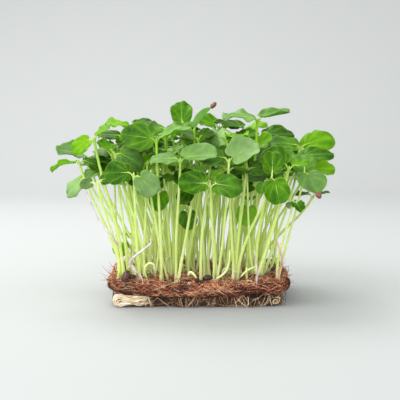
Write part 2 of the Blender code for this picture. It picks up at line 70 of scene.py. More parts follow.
VIEW_FROM = Vector((0.5, -600, 108)) * MM
VIEW_DOWN = 4.97
LENS = 92.94

camera = bpy.data.objects.new("view", bpy.data.cameras.new("view"))
camera.data.lens = LENS
camera.data.clip_start = 10 * MM
camera.location = VIEW_FROM
camera.rotation_euler = (math.radians(90 - VIEW_DOWN), 0, 0)
bpy.context.scene.collection.objects.link(camera)
bpy.context.scene.camera = camera
bpy.context.scene.view_settings.view_transform = "Standard"

# The mat's body. A square cut from a sheet of coir: coconut fibre needled together into a springy slab. The
# roots hold it off the table, and its sides have curled up a little as it dried. Its colour is patched from
# near black to a dark red-brown: the coir's colour, darkened as painted shade in the gaps between the fibres.
MAT_WIDTH = 100 * MM
MAT_DEPTH = 86 * MM
MAT_THICKNESS = 7 * MM
MAT_LIFT = 6 * MM
MAT_CURL = 3.6 * MM
MAT_LUMP = 0.7 * MM
MAT_CELLS = (96, 84)
MAT_SIDE_ROWS = 6
MAT_EDGE_ROUND = 1.2 * MM
MAT_INSET = 0.9 * MM
MAT_PIT_DEPTH = 1.1 * MM
MAT_PIT_SIZE = 2.2 * MM
CORNER_POWER = 7
# The outline is a little uneven: how far it waves in and out, and how many times round.
OUTLINE_WAVES = ((0.012, 7), (0.008, 17))
RIM_STARTS = 0.9
# The body's two colours, near black and a dark red-brown: the coir's colour darkened as painted shade in the
# gaps between the fibres.
COIR_SHADE = (0.022, 0.007, 0.004)
COIR_SHADED_BROWN = (0.200, 0.058, 0.028)


def mat_underside(x, y):
    """Height of the mat's underside: low in the middle, curled up towards its sides and corners."""
    across = abs(x) / (MAT_WIDTH / 2)
    along = abs(y) / (MAT_DEPTH / 2)
    return MAT_LIFT + MAT_CURL * across**4 * (0.45 + 0.55 * along**2) + 0.6 * MM * along**4


def mat_top(x, y):
    """Height of the mat's lumpy upper face."""
    lumps = math.sin(x * 200 + 1.3) * math.cos(y * 180) + 0.6 * math.sin(x * 110 - y * 130 + 0.7)
    return mat_underside(x, y) + MAT_THICKNESS + MAT_LUMP * lumps


def squarish(x, y):
    """How far out a point is, measured by squares with rounded corners."""
    return (abs(x) ** CORNER_POWER + abs(y) ** CORNER_POWER) ** (1 / CORNER_POWER)


def raggedness(turn):
    """How far the outline goes out in this direction, as a share of an even one."""
    (long, few), (short, many) = OUTLINE_WAVES
    return 1 + long * math.sin(few * turn + 1) + short * math.sin(many * turn)


def slab(half_width, half_depth, cells, rows, low, high, edge_round):
    """A slab with rounded corners and edges between two height rules, each a function of x and y."""
    bm = bmesh.new()
    bmesh.ops.create_grid(bm, x_segments=cells[0], y_segments=cells[1], size=1.0)
    for vert in bm.verts:
        x, y = vert.co.x, vert.co.y
        pull = max(abs(x), abs(y)) / squarish(x, y) if x or y else 1.0
        ragged = raggedness(math.atan2(y, x))
        vert.co = Vector((x * half_width * pull * ragged, y * half_depth * pull * ragged, 0))
    raised = bmesh.ops.extrude_face_region(bm, geom=bm.faces[:])["geom"]
    raised = {item for item in raised if isinstance(item, bmesh.types.BMVert)}
    for vert in bm.verts:
        rule = high if vert in raised else low
        vert.co.z = rule(vert.co.x, vert.co.y)
    upright = [edge for edge in bm.edges if (edge.verts[0] in raised) != (edge.verts[1] in raised)]
    bmesh.ops.subdivide_edges(bm, edges=upright, cuts=rows - 1, use_grid_fill=True)
    for vert in bm.verts:
        x, y = vert.co.x, vert.co.y
        bottom, top = low(x, y), high(x, y)
        rim = squarish(x / half_width, y / half_depth)
        if rim > RIM_STARTS:
            level = 2 * (vert.co.z - bottom) / (top - bottom) - 1
            inwards = edge_round * abs(level) ** 4 * (rim - RIM_STARTS) / 0.1
            vert.co -= Vector((x, y, 0)).normalized() * inwards
    bmesh.ops.recalc_face_normals(bm, faces=bm.faces[:])
    return bm


def pitted(bm, depth, size):
    """Pushes the surface in and out with an even noise, in pits of about this depth and size."""
    bm.normal_update()
    moves = {}
    for vert in bm.verts:
        pit = noise.noise(vert.co / size) + 0.5 * noise.noise(vert.co / size * 2.3)
        moves[vert] = vert.normal * (pit * depth)
    for vert, move in moves.items():
        vert.co += move


def new_object(name, bm, looks, smooth=True):
    """Turns a bmesh into an object with these materials."""
    mesh = bpy.data.meshes.new(name)
    bm.to_mesh(mesh)
    bm.free()
    if smooth:
        mesh.shade_smooth()
    for look in looks:
        mesh.materials.append(look)
    made = bpy.data.objects.new(name, mesh)
    bpy.context.scene.collection.objects.link(made)
    return made


def node(tree, kind, sockets=None, **settings):
    """Adds a shader node with its settings, and sets each socket to a value or joins it to an output."""
    made = tree.nodes.new(kind)
    for name, value in settings.items():
        setattr(made, name, value)
    for name, value in (sockets or {}).items():
        if isinstance(value, bpy.types.NodeSocket):
            tree.links.new(value, made.inputs[name])
        else:
            made.inputs[name].default_value = value
    return made


def new_look(name):
    """A new material, its node tree and its shader."""
    look = bpy.data.materials.new(name)
    look.use_nodes = True
    tree = look.node_tree
    return look, tree, tree.nodes["Principled BSDF"]


def mixed(tree, share, first, second):
    """The output of a node that mixes two colours."""
    made = node(tree, "ShaderNodeMix", data_type="RGBA")
    for socket, value in ((made.inputs[0], share), (made.inputs[6], first), (made.inputs[7], second)):
        if isinstance(value, bpy.types.NodeSocket):
            tree.links.new(value, socket)
        elif isinstance(value, tuple):
            socket.default_value = (*value, 1)
        else:
            socket.default_value = value
    return made.outputs[2]


def mottled(tree, place, scale, detail):
    """An even noise over the surface."""
    return node(tree, "ShaderNodeTexNoise", {"Vector": place, "Scale": scale, "Detail": detail}).outputs[0]


def ranged(tree, value, low, high, first=0.0, last=1.0, kind="LINEAR"):
    """The value with its range from low to high turned into the one from first to last."""
    sockets = {"Value": value, "From Min": low, "From Max": high, "To Min": first, "To Max": last}
    return node(tree, "ShaderNodeMapRange", sockets, interpolation_type=kind).outputs[0]


def finished(tree, shader, colour, roughness, height, strength, rise):
    """Gives the shader its colour, its roughness and a fine relief."""
    bump = node(tree, "ShaderNodeBump", {"Height": height, "Strength": strength, "Distance": rise})
    tree.links.new(colour, shader.inputs["Base Color"])
    tree.links.new(bump.outputs[0], shader.inputs["Normal"])
    shader.inputs["Roughness"].default_value = roughness


def fibre_look(name, dark, light, roughness, patch=4 * MM, grain=0.35 * MM, rise=0.08 * MM):
    """A dry fibrous finish: patches between two colours, with a fine grain that also stands in relief."""
    look, tree, shader = new_look(name)
    place = node(tree, "ShaderNodeTexCoord").outputs["Object"]
    grains = mottled(tree, place, 1 / grain, 2.0)
    spread = ranged(tree, mottled(tree, place, 1 / patch, 3.0), 0.32, 0.68, kind="SMOOTHSTEP")
    colour = mixed(tree, spread, dark, light)
    speckle = mixed(tree, grains, colour, tuple(c * 0.72 for c in dark))
    finished(tree, shader, mixed(tree, 0.55, colour, speckle), roughness, grains, 0.7, rise)
    return look


core = slab(
    MAT_WIDTH / 2 - MAT_INSET,
    MAT_DEPTH / 2 - MAT_INSET,
    MAT_CELLS,
    MAT_SIDE_ROWS,
    lambda x, y: mat_underside(x, y) + MAT_INSET,
    lambda x, y: mat_top(x, y) - MAT_INSET,
    MAT_EDGE_ROUND,
)
pitted(core, MAT_PIT_DEPTH, MAT_PIT_SIZE)
# The body's finish is patched between the near black and dark red-brown of its painted shade.
mat = new_object("coir_body", core, [fibre_look("coir_depths", COIR_SHADE, COIR_SHADED_BROWN, 0.95, 1.6 * MM)])
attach(mat, "root")
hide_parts("coir_mat")

# The mat's fibres. Loose ends of coconut fibre cover the slab: they lie every way over its top in low fluffy
# mounds, run along its cut sides, and some spring out of it. Each is a stiff hair, in tones from near black,
# which is painted shade, through red-brown and pinkish orange to straw; the pale tones are partly the coir's
# own colour and partly painted highlight.
# Each tone lies between two colours: near black (painted shade), red-brown, and pinkish orange and straw (both
# partly painted highlight).
FIBRE_LOOKS = (
    ((0.022, 0.007, 0.004), (0.080, 0.022, 0.011)),
    ((0.240, 0.056, 0.022), (0.500, 0.125, 0.052)),
    ((0.660, 0.205, 0.090), (0.930, 0.370, 0.190)),
    ((0.800, 0.500, 0.280), (0.960, 0.740, 0.500)),
)
# Neighbouring fibres share a tone: the size of a patch, where one tone gives way to the next, and how much
# paler the fibres are painted towards the top of the mat and darker low down, as painted light and shade.
TONE_PATCH = 3.2 * MM
TONE_MARKS = (-0.10, 0.20, 0.46)
PAINTED_LIGHT_RISE = 0.03 / MM
TOP_FIBRES = 5200
SIDE_FIBRES = 5200
UNDER_FIBRES = 500
STRAY_FIBRES = 300
FIBRE_RADII = (0.05 * MM, 0.15 * MM)
STRAY_RADII = (0.05 * MM, 0.09 * MM)
FIBRE_STEPS = 4
# In millimetres: the least and greatest length of a fibre on the top, in the sides and springing out.
TOP_LENGTHS = (4, 13)
SIDE_LENGTHS = (4, 14)
STRAY_LENGTHS = (2.5, 7)
FIBRE_ARCH = 2.4 * MM
FIBRE_SUNK = 0.6 * MM
FIBRE_CURL = 0.30
RAGGED = 1.1 * MM
MOUND_HEIGHT = 4.6 * MM
MOUND_SIZE = 9 * MM
# Where the fibres are left out low down on its front side, so that the body's painted shade shows as a dark
# spot:
# its middle, half width and height.
SHADE_SPOT = (30.2 * MM, 3.6 * MM, 10.8 * MM)
# Four long fibres stand out of the corners: where each starts, and how it springs up, in millimetres.
LONG_STRAYS = (
    ((-46.5, -36, 15.5), (-3.5, 0, 3.0), (-7.2, 0, 7.2)),
    ((-48.0, -34, 14.0), (-3.0, 0, 0.6), (-6.6, 0, 0.2)),
    ((-42.0, -38, 15.5), (-2.5, 0, 3.2), (-7.5, 0, 9.5)),
    ((47.2, -35, 14.0), (1.8, 0, 4.0), (2.4, 0, 8.6)),
)


def rim_point(turn, inset):
    """A point in plan on the mat's outline, or inset from it."""
    x, y = math.cos(turn), math.sin(turn)
    reach = squarish(x, y)
    even = Vector((x / reach * (MAT_WIDTH / 2 - inset), y / reach * (MAT_DEPTH / 2 - inset), 0))
    return even * raggedness(turn)


def side_point(turn, level, out):
    """A point on the mat's side, level from 0 at its underside to 1 at its top, standing out of the side."""
    rounding = MAT_EDGE_ROUND * abs(2 * level - 1) ** 4
    point = rim_point(turn, rounding - out)
    low, high = mat_underside(point.x, point.y), mat_top(point.x, point.y)
    point.z = low + (high - low) * level
    return point


def strands(name, courses, looks, sides_more=0):
    """One mesh of many thin strands. Each course is its points, its radii and the number of its material."""
    curve = bpy.data.curves.new(name, "CURVE")
    curve.dimensions = "3D"
    curve.bevel_depth = MM
    curve.bevel_resolution = sides_more
    curve.use_fill_caps = True
    for look in looks:
        curve.materials.append(look)
    for points, radii, number in courses:
        line = curve.splines.new("POLY")
        line.points.add(len(points) - 1)
        line.points.foreach_set("co", [value for point in points for value in (*point, 1.0)])
        line.points.foreach_set("radius", [radius / MM for radius in radii])
        line.material_index = number
    drawn = bpy.data.objects.new(name, curve)
    bpy.context.scene.collection.objects.link(drawn)
    mesh = bpy.data.meshes.new_from_object(drawn.evaluated_get(bpy.context.evaluated_depsgraph_get()))
    bpy.data.objects.remove(drawn)
    bpy.data.curves.remove(curve)
    bm = bmesh.new()
    bm.from_mesh(mesh)
    bpy.data.meshes.remove(mesh)
    bmesh.ops.remove_doubles(bm, verts=bm.verts[:], dist=0.002 * MM)
    return bm


def wander(start, heading, length, draw):
    """Points in plan along a line that keeps turning a little."""
    points = [start]
    turn = draw.gauss(0, FIBRE_CURL)
    for _ in range(FIBRE_STEPS):
        turn += draw.gauss(0, FIBRE_CURL * 0.6)
        heading += turn
        points.append(points[-1] + Vector((math.cos(heading), math.sin(heading), 0)) * (length / FIBRE_STEPS))
    return points


def inside_mat(point, inset):
    """Whether the point is within the mat's outline in plan, by at least the inset."""
    x = abs(point.x) / (MAT_WIDTH / 2 - inset)
    y = abs(point.y) / (MAT_DEPTH / 2 - inset)
    return x**CORNER_POWER + y**CORNER_POWER < 1


def tapered(radius, count):
    """Radii along a strand that thins towards both ends."""
    return [radius * (1 - 0.55 * abs(2 * i / (count - 1) - 1) ** 3) for i in range(count)]


def mound(x, y):
    """How high the loose fibres are heaped here."""
    heap = noise.noise(Vector((x, y, 0.03)) / MOUND_SIZE)
    heap += 0.35 * noise.noise(Vector((x, y, 0.01)) / MOUND_SIZE * 2.7)
    return MOUND_HEIGHT * max(0.0, 0.25 + heap)


def top_fibre(draw):
    """A fibre over the top of the mat, dipping in and out of its mounds."""
    x = draw.uniform(-1, 1) * MAT_WIDTH / 2
    y = draw.uniform(-1, 1) * MAT_DEPTH / 2
    start = Vector((x, y, 0))
    points = wander(start, draw.uniform(0, 2 * math.pi), draw.uniform(*TOP_LENGTHS) * MM, draw)
    if not all(inside_mat(point, -0.4 * MM) for point in points):
        return None
    arch = draw.random() ** 2 * FIBRE_ARCH
    in_mound = draw.random() ** 0.8
    phase = draw.uniform(0, 1)
    for i, point in enumerate(points):
        share = i / FIBRE_STEPS
        wave = math.sin((share * 1.2 + phase * 0.4) * math.pi)
        high = mat_top(point.x, point.y) - FIBRE_SUNK + mound(point.x, point.y) * in_mound
        point.z = high + arch * wave + draw.uniform(-0.4, 0.4) * MM
    return points


def side_fibre(draw):
    """A fibre in the cut side of the mat: level along its lower edge, and every way in the fluff above."""
    turn = draw.uniform(0, 2 * math.pi)
    level = draw.uniform(-0.03, 1.08)
    slope = draw.gauss(0, 0.16) if draw.random() < 1.1 - level else draw.uniform(-1.5, 1.5)
    length = draw.uniform(*SIDE_LENGTHS) * MM * (1 - 0.5 * abs(math.sin(slope)))
    way = draw.choice((-1, 1))
    phase = draw.uniform(0, 6)
    lift = draw.uniform(0.0, 1.0) * level
    points = []
    for i in range(FIBRE_STEPS + 1):
        run = length * i / FIBRE_STEPS
        bend = slope + 0.5 * math.sin(phase + 2.6 * i / FIBRE_STEPS)
        at = min(1.15, max(-0.05, level + run * math.sin(bend) / MAT_THICKNESS))
        out = RAGGED * ((0.15 + 0.7 * math.sin(phase + i)) * draw.uniform(0.5, 1.1) + 0.5 * lift)
        points.append(side_point(turn + way * run * math.cos(bend) / (MAT_WIDTH / 2), at, out))
    # No fibre crosses the dark spot, where the body's painted shade shows through.
    middle, half, high = SHADE_SPOT
    if any(abs(point.x - middle) < half and point.y < 0 and point.z < high for point in points):
        return None
    return points


def under_fibre(draw):
    """A fibre that hangs loose from the lower edge of the mat."""
    turn = draw.uniform(0, 2 * math.pi)
    sweep = draw.choice((-1, 1)) * draw.uniform(0.03, 0.16)
    points = []
    for i in range(FIBRE_STEPS + 1):
        share = i / FIBRE_STEPS
        level = 0.12 - 0.3 * math.sin(share * math.pi)
        points.append(side_point(turn + sweep * share, level, -2.2 * MM * (1 - share)))
    return points


def stray_fibre(draw):
    """A thin fibre that springs out of the rim."""
    turn = draw.uniform(0, 2 * math.pi)
    start = side_point(turn, draw.uniform(0.3, 1.0), -1.0 * MM)
    way = Vector((math.cos(turn), math.sin(turn), 0)) * draw.uniform(0.1, 1.0)
    way += Vector((draw.gauss(0, 0.5), draw.gauss(0, 0.5), draw.uniform(-0.1, 0.9)))
    way = way.normalized() * draw.uniform(*STRAY_LENGTHS) * MM
    bend = Vector((draw.gauss(0, 1), draw.gauss(0, 1), draw.gauss(-0.2, 0.8))) * MM
    shares = [i / FIBRE_STEPS for i in range(FIBRE_STEPS + 1)]
    return [start + way * share + bend * share * share for share in shares]


def make_fibres(name, count, rule):
    """A piece of many fibres drawn by one rule, in the tones of coir with their painted shade and highlight,
    paler higher up.
    """
    courses = []
    while len(courses) < count:
        points = rule(fibre_draw)
        if points:
            middle = points[len(points) // 2]
            pick = 1.2 * noise.noise(middle / TONE_PATCH) + fibre_draw.uniform(-0.5, 0.5)
            # Painted light and shade: the higher a fibre lies on the mat, the paler its tone.
            pick += PAINTED_LIGHT_RISE * (middle.z - mat_underside(middle.x, middle.y) - MAT_THICKNESS / 2)
            tone = sum(pick > mark for mark in TONE_MARKS)
            courses.append((points, tapered(fibre_draw.uniform(*FIBRE_RADII), len(points)), tone))
    piece = new_object(name, strands(name, courses, coir_looks), coir_looks)
    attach(piece, "root")


coir_looks = [fibre_look(f"coir_fibre_{i + 1}", *pair, 0.8) for i, pair in enumerate(FIBRE_LOOKS)]
fibre_draw = random.Random(41)
make_fibres("coir_top_fibres", TOP_FIBRES, top_fibre)
make_fibres("coir_side_fibres", SIDE_FIBRES, side_fibre)
make_fibres("coir_under_fibres", UNDER_FIBRES, under_fibre)
strays = []
for _ in range(STRAY_FIBRES):
    strays.append((stray_fibre(fibre_draw), fibre_draw.uniform(*STRAY_RADII), fibre_draw.choice((0, 1, 2))))
for start, middle, end in LONG_STRAYS:
    start, middle, end = (Vector(place) * MM for place in (start, middle, end))
    sprung = [start + (middle * t).lerp(middle.lerp(end, t), t) for t in (0, 0.25, 0.5, 0.75, 1)]
    strays.append((sprung, STRAY_RADII[1], 0))
strays = [(points, tapered(radius, len(points)), tone) for points, radius, tone in strays]
stray_piece = new_object("coir_stray_fibres", strands("strays", strays, coir_looks), coir_looks)
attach(stray_piece, "root")

# The roots. They have grown through the mat and matted into a pad between it and the table: a felt patched from
# tan to near black, with loose roots in cream, tan and near black hanging round it, the near black being
# painted shade under the mat, and at the left corner a hank of clean roots that folds back on itself.
ROOT_HALF_WIDTH = 43 * MM
ROOT_HALF_DEPTH = 38.5 * MM
ROOT_CELLS = (72, 64)
ROOT_SIDE_ROWS = 5
ROOTS_UNDER_MAT = 0.45 * MM
ROOT_INSET = 1.8 * MM
# The roots' three tones, each between two colours: cream, tan, and a near black that is painted shade under the
# mat.
ROOT_LOOKS = (
    ((0.78, 0.56, 0.34), (1.00, 0.86, 0.62)),
    ((0.30, 0.155, 0.070), (0.56, 0.34, 0.17)),
    ((0.045, 0.019, 0.010), (0.15, 0.066, 0.030)),
)
# How many roots hang and how many are wound round the pad, and the shares of the three tones among them; the
# third is the near black of painted shade.
HANGING_ROOTS = (640, (24, 30, 46))
LYING_ROOTS = (520, (4, 26, 70))
ROOT_RADII = (0.07 * MM, 0.20 * MM)
ON_TABLE = 0.3 * MM
HANK_ROOTS = 76
HANK_RADII = (0.13 * MM, 0.27 * MM)
HANK_TONES = (3, 3, 3, 3, 3, 0, 1)
HANK_ENDS = (-46.5 * MM, -29.5 * MM)
HANK_MIDDLE = (-39.6 * MM, 4.0 * MM)
HANK_HALF = (1.8 * MM, 3.7 * MM)
HANK_LOOKS = ((0.86, 0.68, 0.44), (1.00, 0.93, 0.76))
# A root of the hank on its way out, by its share of the way and of its height, and then round the fold, by how
# far along and in from the fold it lies in millimetres and its share of its height.
HANK_RUN = ((-0.3, 0.5), (0, 0.7), (0.25, 0.8), (0.5, 0.62), (0.75, 0.75))
HANK_TURN = ((1.4, -0.2, 1.0), (-0.1, -0.1, 0.75), (-0.9, 0, 0), (0.0, 0.2, -0.7), (1.8, 0.3, -0.95))
HANK_SHORT = 0.4
HANK_FROM_BEHIND = 4.5 * MM
# Single roots that end in a curl: its middle, its radius and the way that the root comes from.
CURLS = (
    ((43.0, -37.5, 3.4), 2.1, (0.1, -0.9, 0.3)),
    ((42.0, -38.0, 2.6), 1.5, (-0.2, -0.8, 0.5)),
    ((-43.8, -41.5, 3.4), 2.3, (-0.5, -0.9, 0.1)),
    ((-43.2, -41.2, 3.0), 1.4, (-0.3, -0.9, -0.1)),
)


def root_top(x, y):
    """Height of the root pad, which the mat lies on."""
    return mat_underside(x, y) - ROOTS_UNDER_MAT


def hanging_root(draw):
    """A root that leaves the underside of the mat, hangs beside the pad and ends on the table."""
    turn = draw.uniform(0, 2 * math.pi)
    sweep = draw.gauss(0, 0.075)
    near, far = draw.uniform(1.5, 6.5) * MM, draw.uniform(1.2, 6.5) * MM
    swing = draw.uniform(-1.0, 1.2) * MM
    points = []
    for i in range(FIBRE_STEPS + 1):
        share = i / FIBRE_STEPS
        inset = near + (far - near) * share - swing * math.sin(share * math.pi)
        point = rim_point(turn + sweep * share, max(inset, 0.8 * MM))
        top = mat_underside(point.x, point.y) + ON_TABLE
        fall = top * (1 - share ** draw.uniform(0.9, 1.3))
        point.z = max(fall, ON_TABLE)
        points.append(point)
    return points


def lying_root(draw):
    """A root wound round the side of the pad."""
    turn = draw.uniform(0, 2 * math.pi)
    sweep = draw.choice((-1, 1)) * draw.uniform(0.08, 0.34)
    level, drift = draw.uniform(0.04, 0.96), draw.gauss(0, 0.55)
    inset = draw.uniform(4.0, 6.6) * MM
    phase = draw.uniform(0, 6)
    points = []
    for i in range(FIBRE_STEPS + 1):
        share = i / FIBRE_STEPS
        point = rim_point(turn + sweep * share, inset + 0.8 * MM * math.sin(phase + 4 * share))
        point.z = root_top(point.x, point.y) * min(0.98, max(0.05, level + drift * share))
        points.append(point)
    return points


def hank_root(draw):
    """One root of the hank: out from under the mat, on to the corner, and folded back round the hole."""
    left, right = HANK_ENDS
    middle_y, middle_z = HANK_MIDDLE
    side = draw.choice((-1, 1))
    around = draw.uniform(0.6, 2.55)
    depth = draw.uniform(0.6, 1.0)
    y = middle_y - HANK_HALF[0] * depth * math.cos(around)
    rise = side * HANK_HALF[1] * depth * math.sin(around)
    fold = left + draw.random() ** 2 * 2.6 * MM
    if draw.random() < HANK_SHORT:
        fold += draw.uniform(4.5, 7) * MM
        rise *= draw.uniform(0.1, 0.8)
    course = []
    for share, spread in HANK_RUN:
        x = right + (fold - right) * share
        z = middle_z + rise * spread + draw.gauss(0, 0.35) * MM
        course.append((x, y + HANK_FROM_BEHIND if share < 0 else y + draw.gauss(0, 0.45) * MM, z))
    for along, inwards, spread in HANK_TURN:
        z = middle_z + rise * spread + draw.gauss(0, 0.12) * MM
        course.append((fold + along * MM, y + inwards * MM, z))
    back = draw.uniform(4, 13)
    course.append((fold + back * MM, y + 0.8 * MM, middle_z - rise * draw.uniform(0.1, 0.8)))
    points = []
    for x, y, z in course:
        highest = mat_underside(x, y) - 0.2 * MM
        points.append(Vector((x, y, min(highest, max(z, 0.35 * MM)))))
    return smoothed(points, 2)


def smoothed(points, cuts):
    """The points of a smooth line through these ones, with this many steps between each two."""
    ends = [points[0] * 2 - points[1], *points, points[-1] * 2 - points[-2]]
    line = []
    for a, b, c, d in zip(ends, ends[1:], ends[2:], ends[3:]):
        for step in range(cuts):
            t = step / cuts
            point = b * 2 + (c - a) * t + (a * 2 - b * 5 + c * 4 - d) * t * t
            line.append((point + (b * 3 - a - c * 3 + d) * t**3) / 2)
    line.append(points[-1].copy())
    return line


def curled_root(middle, radius, tail, draw):
    """A root that ends in a loose curl."""
    middle = Vector(middle) * MM
    points = []
    for i in range(14):
        turn = 0.6 + i * 0.52
        size = radius * MM * (1 - 0.028 * i)
        x, z = math.cos(turn) * size, math.sin(turn) * size
        points.append(middle + Vector((x, 0.12 * MM * i, max(z, 0.35 * MM - middle.z))))
    points.insert(0, points[0] + Vector(tail) * -3 * MM)
    return points


root_draw = random.Random(53)
pad = slab(
    ROOT_HALF_WIDTH - ROOT_INSET,
    ROOT_HALF_DEPTH - ROOT_INSET,
    ROOT_CELLS,
    ROOT_SIDE_ROWS,
    lambda x, y: 0.05 * MM,
    root_top,
    0.6 * MM,
)
pitted(pad, 0.55 * MM, 1.7 * MM)
for vert in pad.verts:
    vert.co.z = max(vert.co.z, 0.0)
# The pad is patched from near black to tan: the tan of root felt, darkened to near black as painted shade under
# the mat.
pad_look = fibre_look("root_felt", (0.022, 0.010, 0.006), (0.250, 0.130, 0.062), 0.9, 9 * MM)
root_pad = new_object("root_pad", pad, [pad_look])
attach(root_pad, "root")
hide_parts("root_mass")
root_looks = [fibre_look(f"root_strand_{i + 1}", *pair, 0.7) for i, pair in enumerate(ROOT_LOOKS)]
root_looks.append(fibre_look("root_hank", *HANK_LOOKS, 0.6))
courses = []
for rule, (count, shares) in ((hanging_root, HANGING_ROOTS), (lying_root, LYING_ROOTS)):
    for _ in range(count):
        points = rule(root_draw)
        tone = root_draw.choices(range(len(shares)), shares)[0]
        courses.append((points, tapered(root_draw.uniform(*ROOT_RADII), len(points)), tone))
for _ in range(HANK_ROOTS):
    points = hank_root(root_draw)
    courses.append((points, tapered(root_draw.uniform(*HANK_RADII), len(points)), root_draw.choice(HANK_TONES)))
for middle, radius, tail in CURLS:
    points = curled_root(middle, radius, tail, root_draw)
    courses.append((points, tapered(0.32 * MM, len(points)), 0))
roots = new_object("root_strands", strands("roots", courses, root_looks), root_looks)
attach(roots, "root")

# Where the seedlings stand. Two or three share a root collar, and each collar stands in its own hole in the
# mat. The plants lean out of each other's way, so that no leaf or stem crosses another.
ROW_COUNTS = (9, 8, 7, 8, 7)
CLUMP_STEP = 10.7 * MM
ROW_STEP = 17 * MM
FRONT_CLUMPS = ROW_COUNTS[0] + 5
FRONT_STEMS = 3
OTHER_STEMS = 2
CLUMP_WANDER = 1.1 * MM
COLLAR_STANDS_OUT = 1.5 * MM
COLLAR_OFFSET = 1.15 * MM
GAP = 0.3 * MM
STEM_HALF_WIDTH = 0.86 * MM
STEM_TOP_HALF_WIDTH = 0.68 * MM
STEM_SUNK = 0.8 * MM
STEM_STATIONS = (0.12, 0.40, 0.70, 0.96, 1.0)
# How far along its span a stem keeps to the way it starts in, and to the way it ends in.
STEM_LEAVES_MAT = 0.36
STEM_NEARS_TOP = 0.34
STEM_UPRIGHT = 0.35
STALK_LENGTH = 3.4 * MM
STALK_HALF_WIDTH = 0.5 * MM
BLADE_THICKNESS = 0.7 * MM
BLADE_WIDTH_TO_LENGTH = 1.16
BLADE_STATIONS = ((0.03, 0.54), (0.36, 0.98), (0.76, 0.90), (1.0, 0.36))
# The canopy is a low dome: how far it fans out, its height and half widths, and how deep its layers are.
CANOPY_FAN = (1.38, 1.34)
CANOPY_TOP = 97 * MM
CANOPY_DOME = 15 * MM
CANOPY_HALF = (70 * MM, 60 * MM)
CANOPY_LAYERS = 31 * MM
CANOPY_THINS = 0.6
CANOPY_WAIST = 24 * MM
CANOPY_FLARE = 0.46
CANOPY_ROAM = 5 * MM
CANOPY_FRONT = -42 * MM
LEAF_LENGTHS = (10.5 * MM, 15 * MM)
ROOM_BETWEEN = 0.15 * MM
# How often a plant is tried, how far it is bent at most, and how much its leaves shrink before it is given up.
DRAWS = 320
MOST_BENT = 1.6
MOST_SHRUNK = 0.45
SEED = 11
# The plants that stand out, in millimetres and degrees: the top of the stem, where its base would be, then for
# each leaf its heading, rise, how far its face turns to the viewer, and its length.
STANDING_OUT = (
    ((6, -56, 68), (8, -37), (180, 2, 66, 14), (0, -8, 64, 14)),
    ((-10, -52, 81), (-13, -37), (180, 2, 22, 13), (4, 11, 24, 17)),
    ((16, -46, 83), (8, -36), (24, 34, 56, 17), (176, 22, 36, 15)),
    ((-23, -44, 91), (-20, -36), (178, 9, 68, 16.5), (4, 24, 4, 17)),
    ((39, -48, 72), (20, -36), (84, 66, 84, 12.5), (-66, -64, 84, 13)),
    ((58, -32, 73), (42, -34), (-74, -28, 40, 16), (92, 44, 72, 14)),
    ((-3, -20, 96), (0, -18), (0, 56, -6, 12.5), (180, 6, 16, 14)),
    ((33, -14, 102), (28, -14), (180, 9, 14, 17), (0, 15, 12, 16)),
    ((58, -8, 86), (40, 0), (6, 22, 48, 17.5), (180, 12, 36, 15)),
    ((57, -18, 82), (42, -17), (3, 5, 34, 17), (184, -16, 30, 12)),
    ((-10, 10, 99), (-8, 30), (96, 58, 62, 14), (-84, 4, 18, 12)),
    ((-35, -47, 73), (-31, -38), (180, 2, 62, 13), (0, -46, 70, 12.5)),
    ((-46, -38, 84), (-34, -38), (2, -26, 60, 14), (172, 34, 20, 9)),
    ((-33, -36, 79), (-28, -34), (188, -10, 52, 13), (10, 20, 30, 11)),
    ((-56, -35, 91), (-38, -36), (184, -34, 44, 11), (20, 46, 8, 9.5)),
    ((-64, -12, 81), (-41, -16), (180, 16, 22, 15), (0, -20, 14, 12)),
    ((-67, -25, 79), (-44, -33), (184, -12, -8, 13.5), (5, -18, 24, 13)),
    ((-68, 28, 67), (-43, 20), (200, -42, 30, 14), (30, 40, 30, 11)),
    ((-13, -38, 70), (-13, -37), (165, 18, 52, 12.5), (228, -46, 62, 11)),
    ((62, 2, 72), (41, 16), (3, 8, 38, 14.5), (184, 0, 24, 12)),
    ((49, -43, 77), (32, -36), (164, 30, 44, 14), (-8, 12, 20, 9)),
    ((36, 4, 92), (28, -14), (2, 6, 34, 16.5), (182, 2, 20, 12)),
    ((28, 8, 98), (22, 17), (180, 5, 14, 17), (0, 12, 14, 11)),
    ((-19, 16, 97), (-16, 16), (180, 10, 30, 13), (0, 10, 20, 11)),
    ((12, 20, 97), (10, 16), (172, 22, 40, 11), (-4, 8, 24, 12)),
    ((-41, 18, 96), (-28, 16), (182, 12, 10, 13), (4, 8, 26, 11)),
    ((-43, -12, 92), (-28, -16), (182, 8, 28, 11), (0, 10, 30, 12)),
    ((-55, -42, 68), (-42, -36), (186, -14, 60, 6.5), (0, 22, 50, 8)),
    ((-23, -25, 64), (-22, -18), (-92, -62, 80, 10.5), (88, 30, 20, 9)),
    ((-7, -13, 52), (-8, -17), (-80, -60, 66, 10), (100, 20, 10, 8)),
    ((27, -17, 55), (18, -17), (-100, -58, 66, 11), (80, 10, 10, 9)),
    ((-44, 12, 31), (-41, 16), (-110, -48, 50, 9), (60, 10, 0, 8.5)),
    ((66, 6, 58), (40, 0), (0, 16, 10, 7), (182, 0, 10, 8)),
    ((26, -30, 74), (18, -36), (184, -10, 40, 9), (-6, 14, 44, 12)),
    ((-27, -30, 82), (-16, -17), (186, -20, 50, 12), (4, 10, 30, 12)),
)
BOLD_DROOP = 0.10
HULL_WIDTH_TO_LENGTH = 0.62
HULL_POINTED = 0.15
HULL_FLAT = 0.9
# The hulls still caught on a leaf: for each such row of STANDING_OUT, which leaf, and the hull's length.
CAUGHT_HULLS = {6: (0, 4.6), 5: (0, 5.0)}


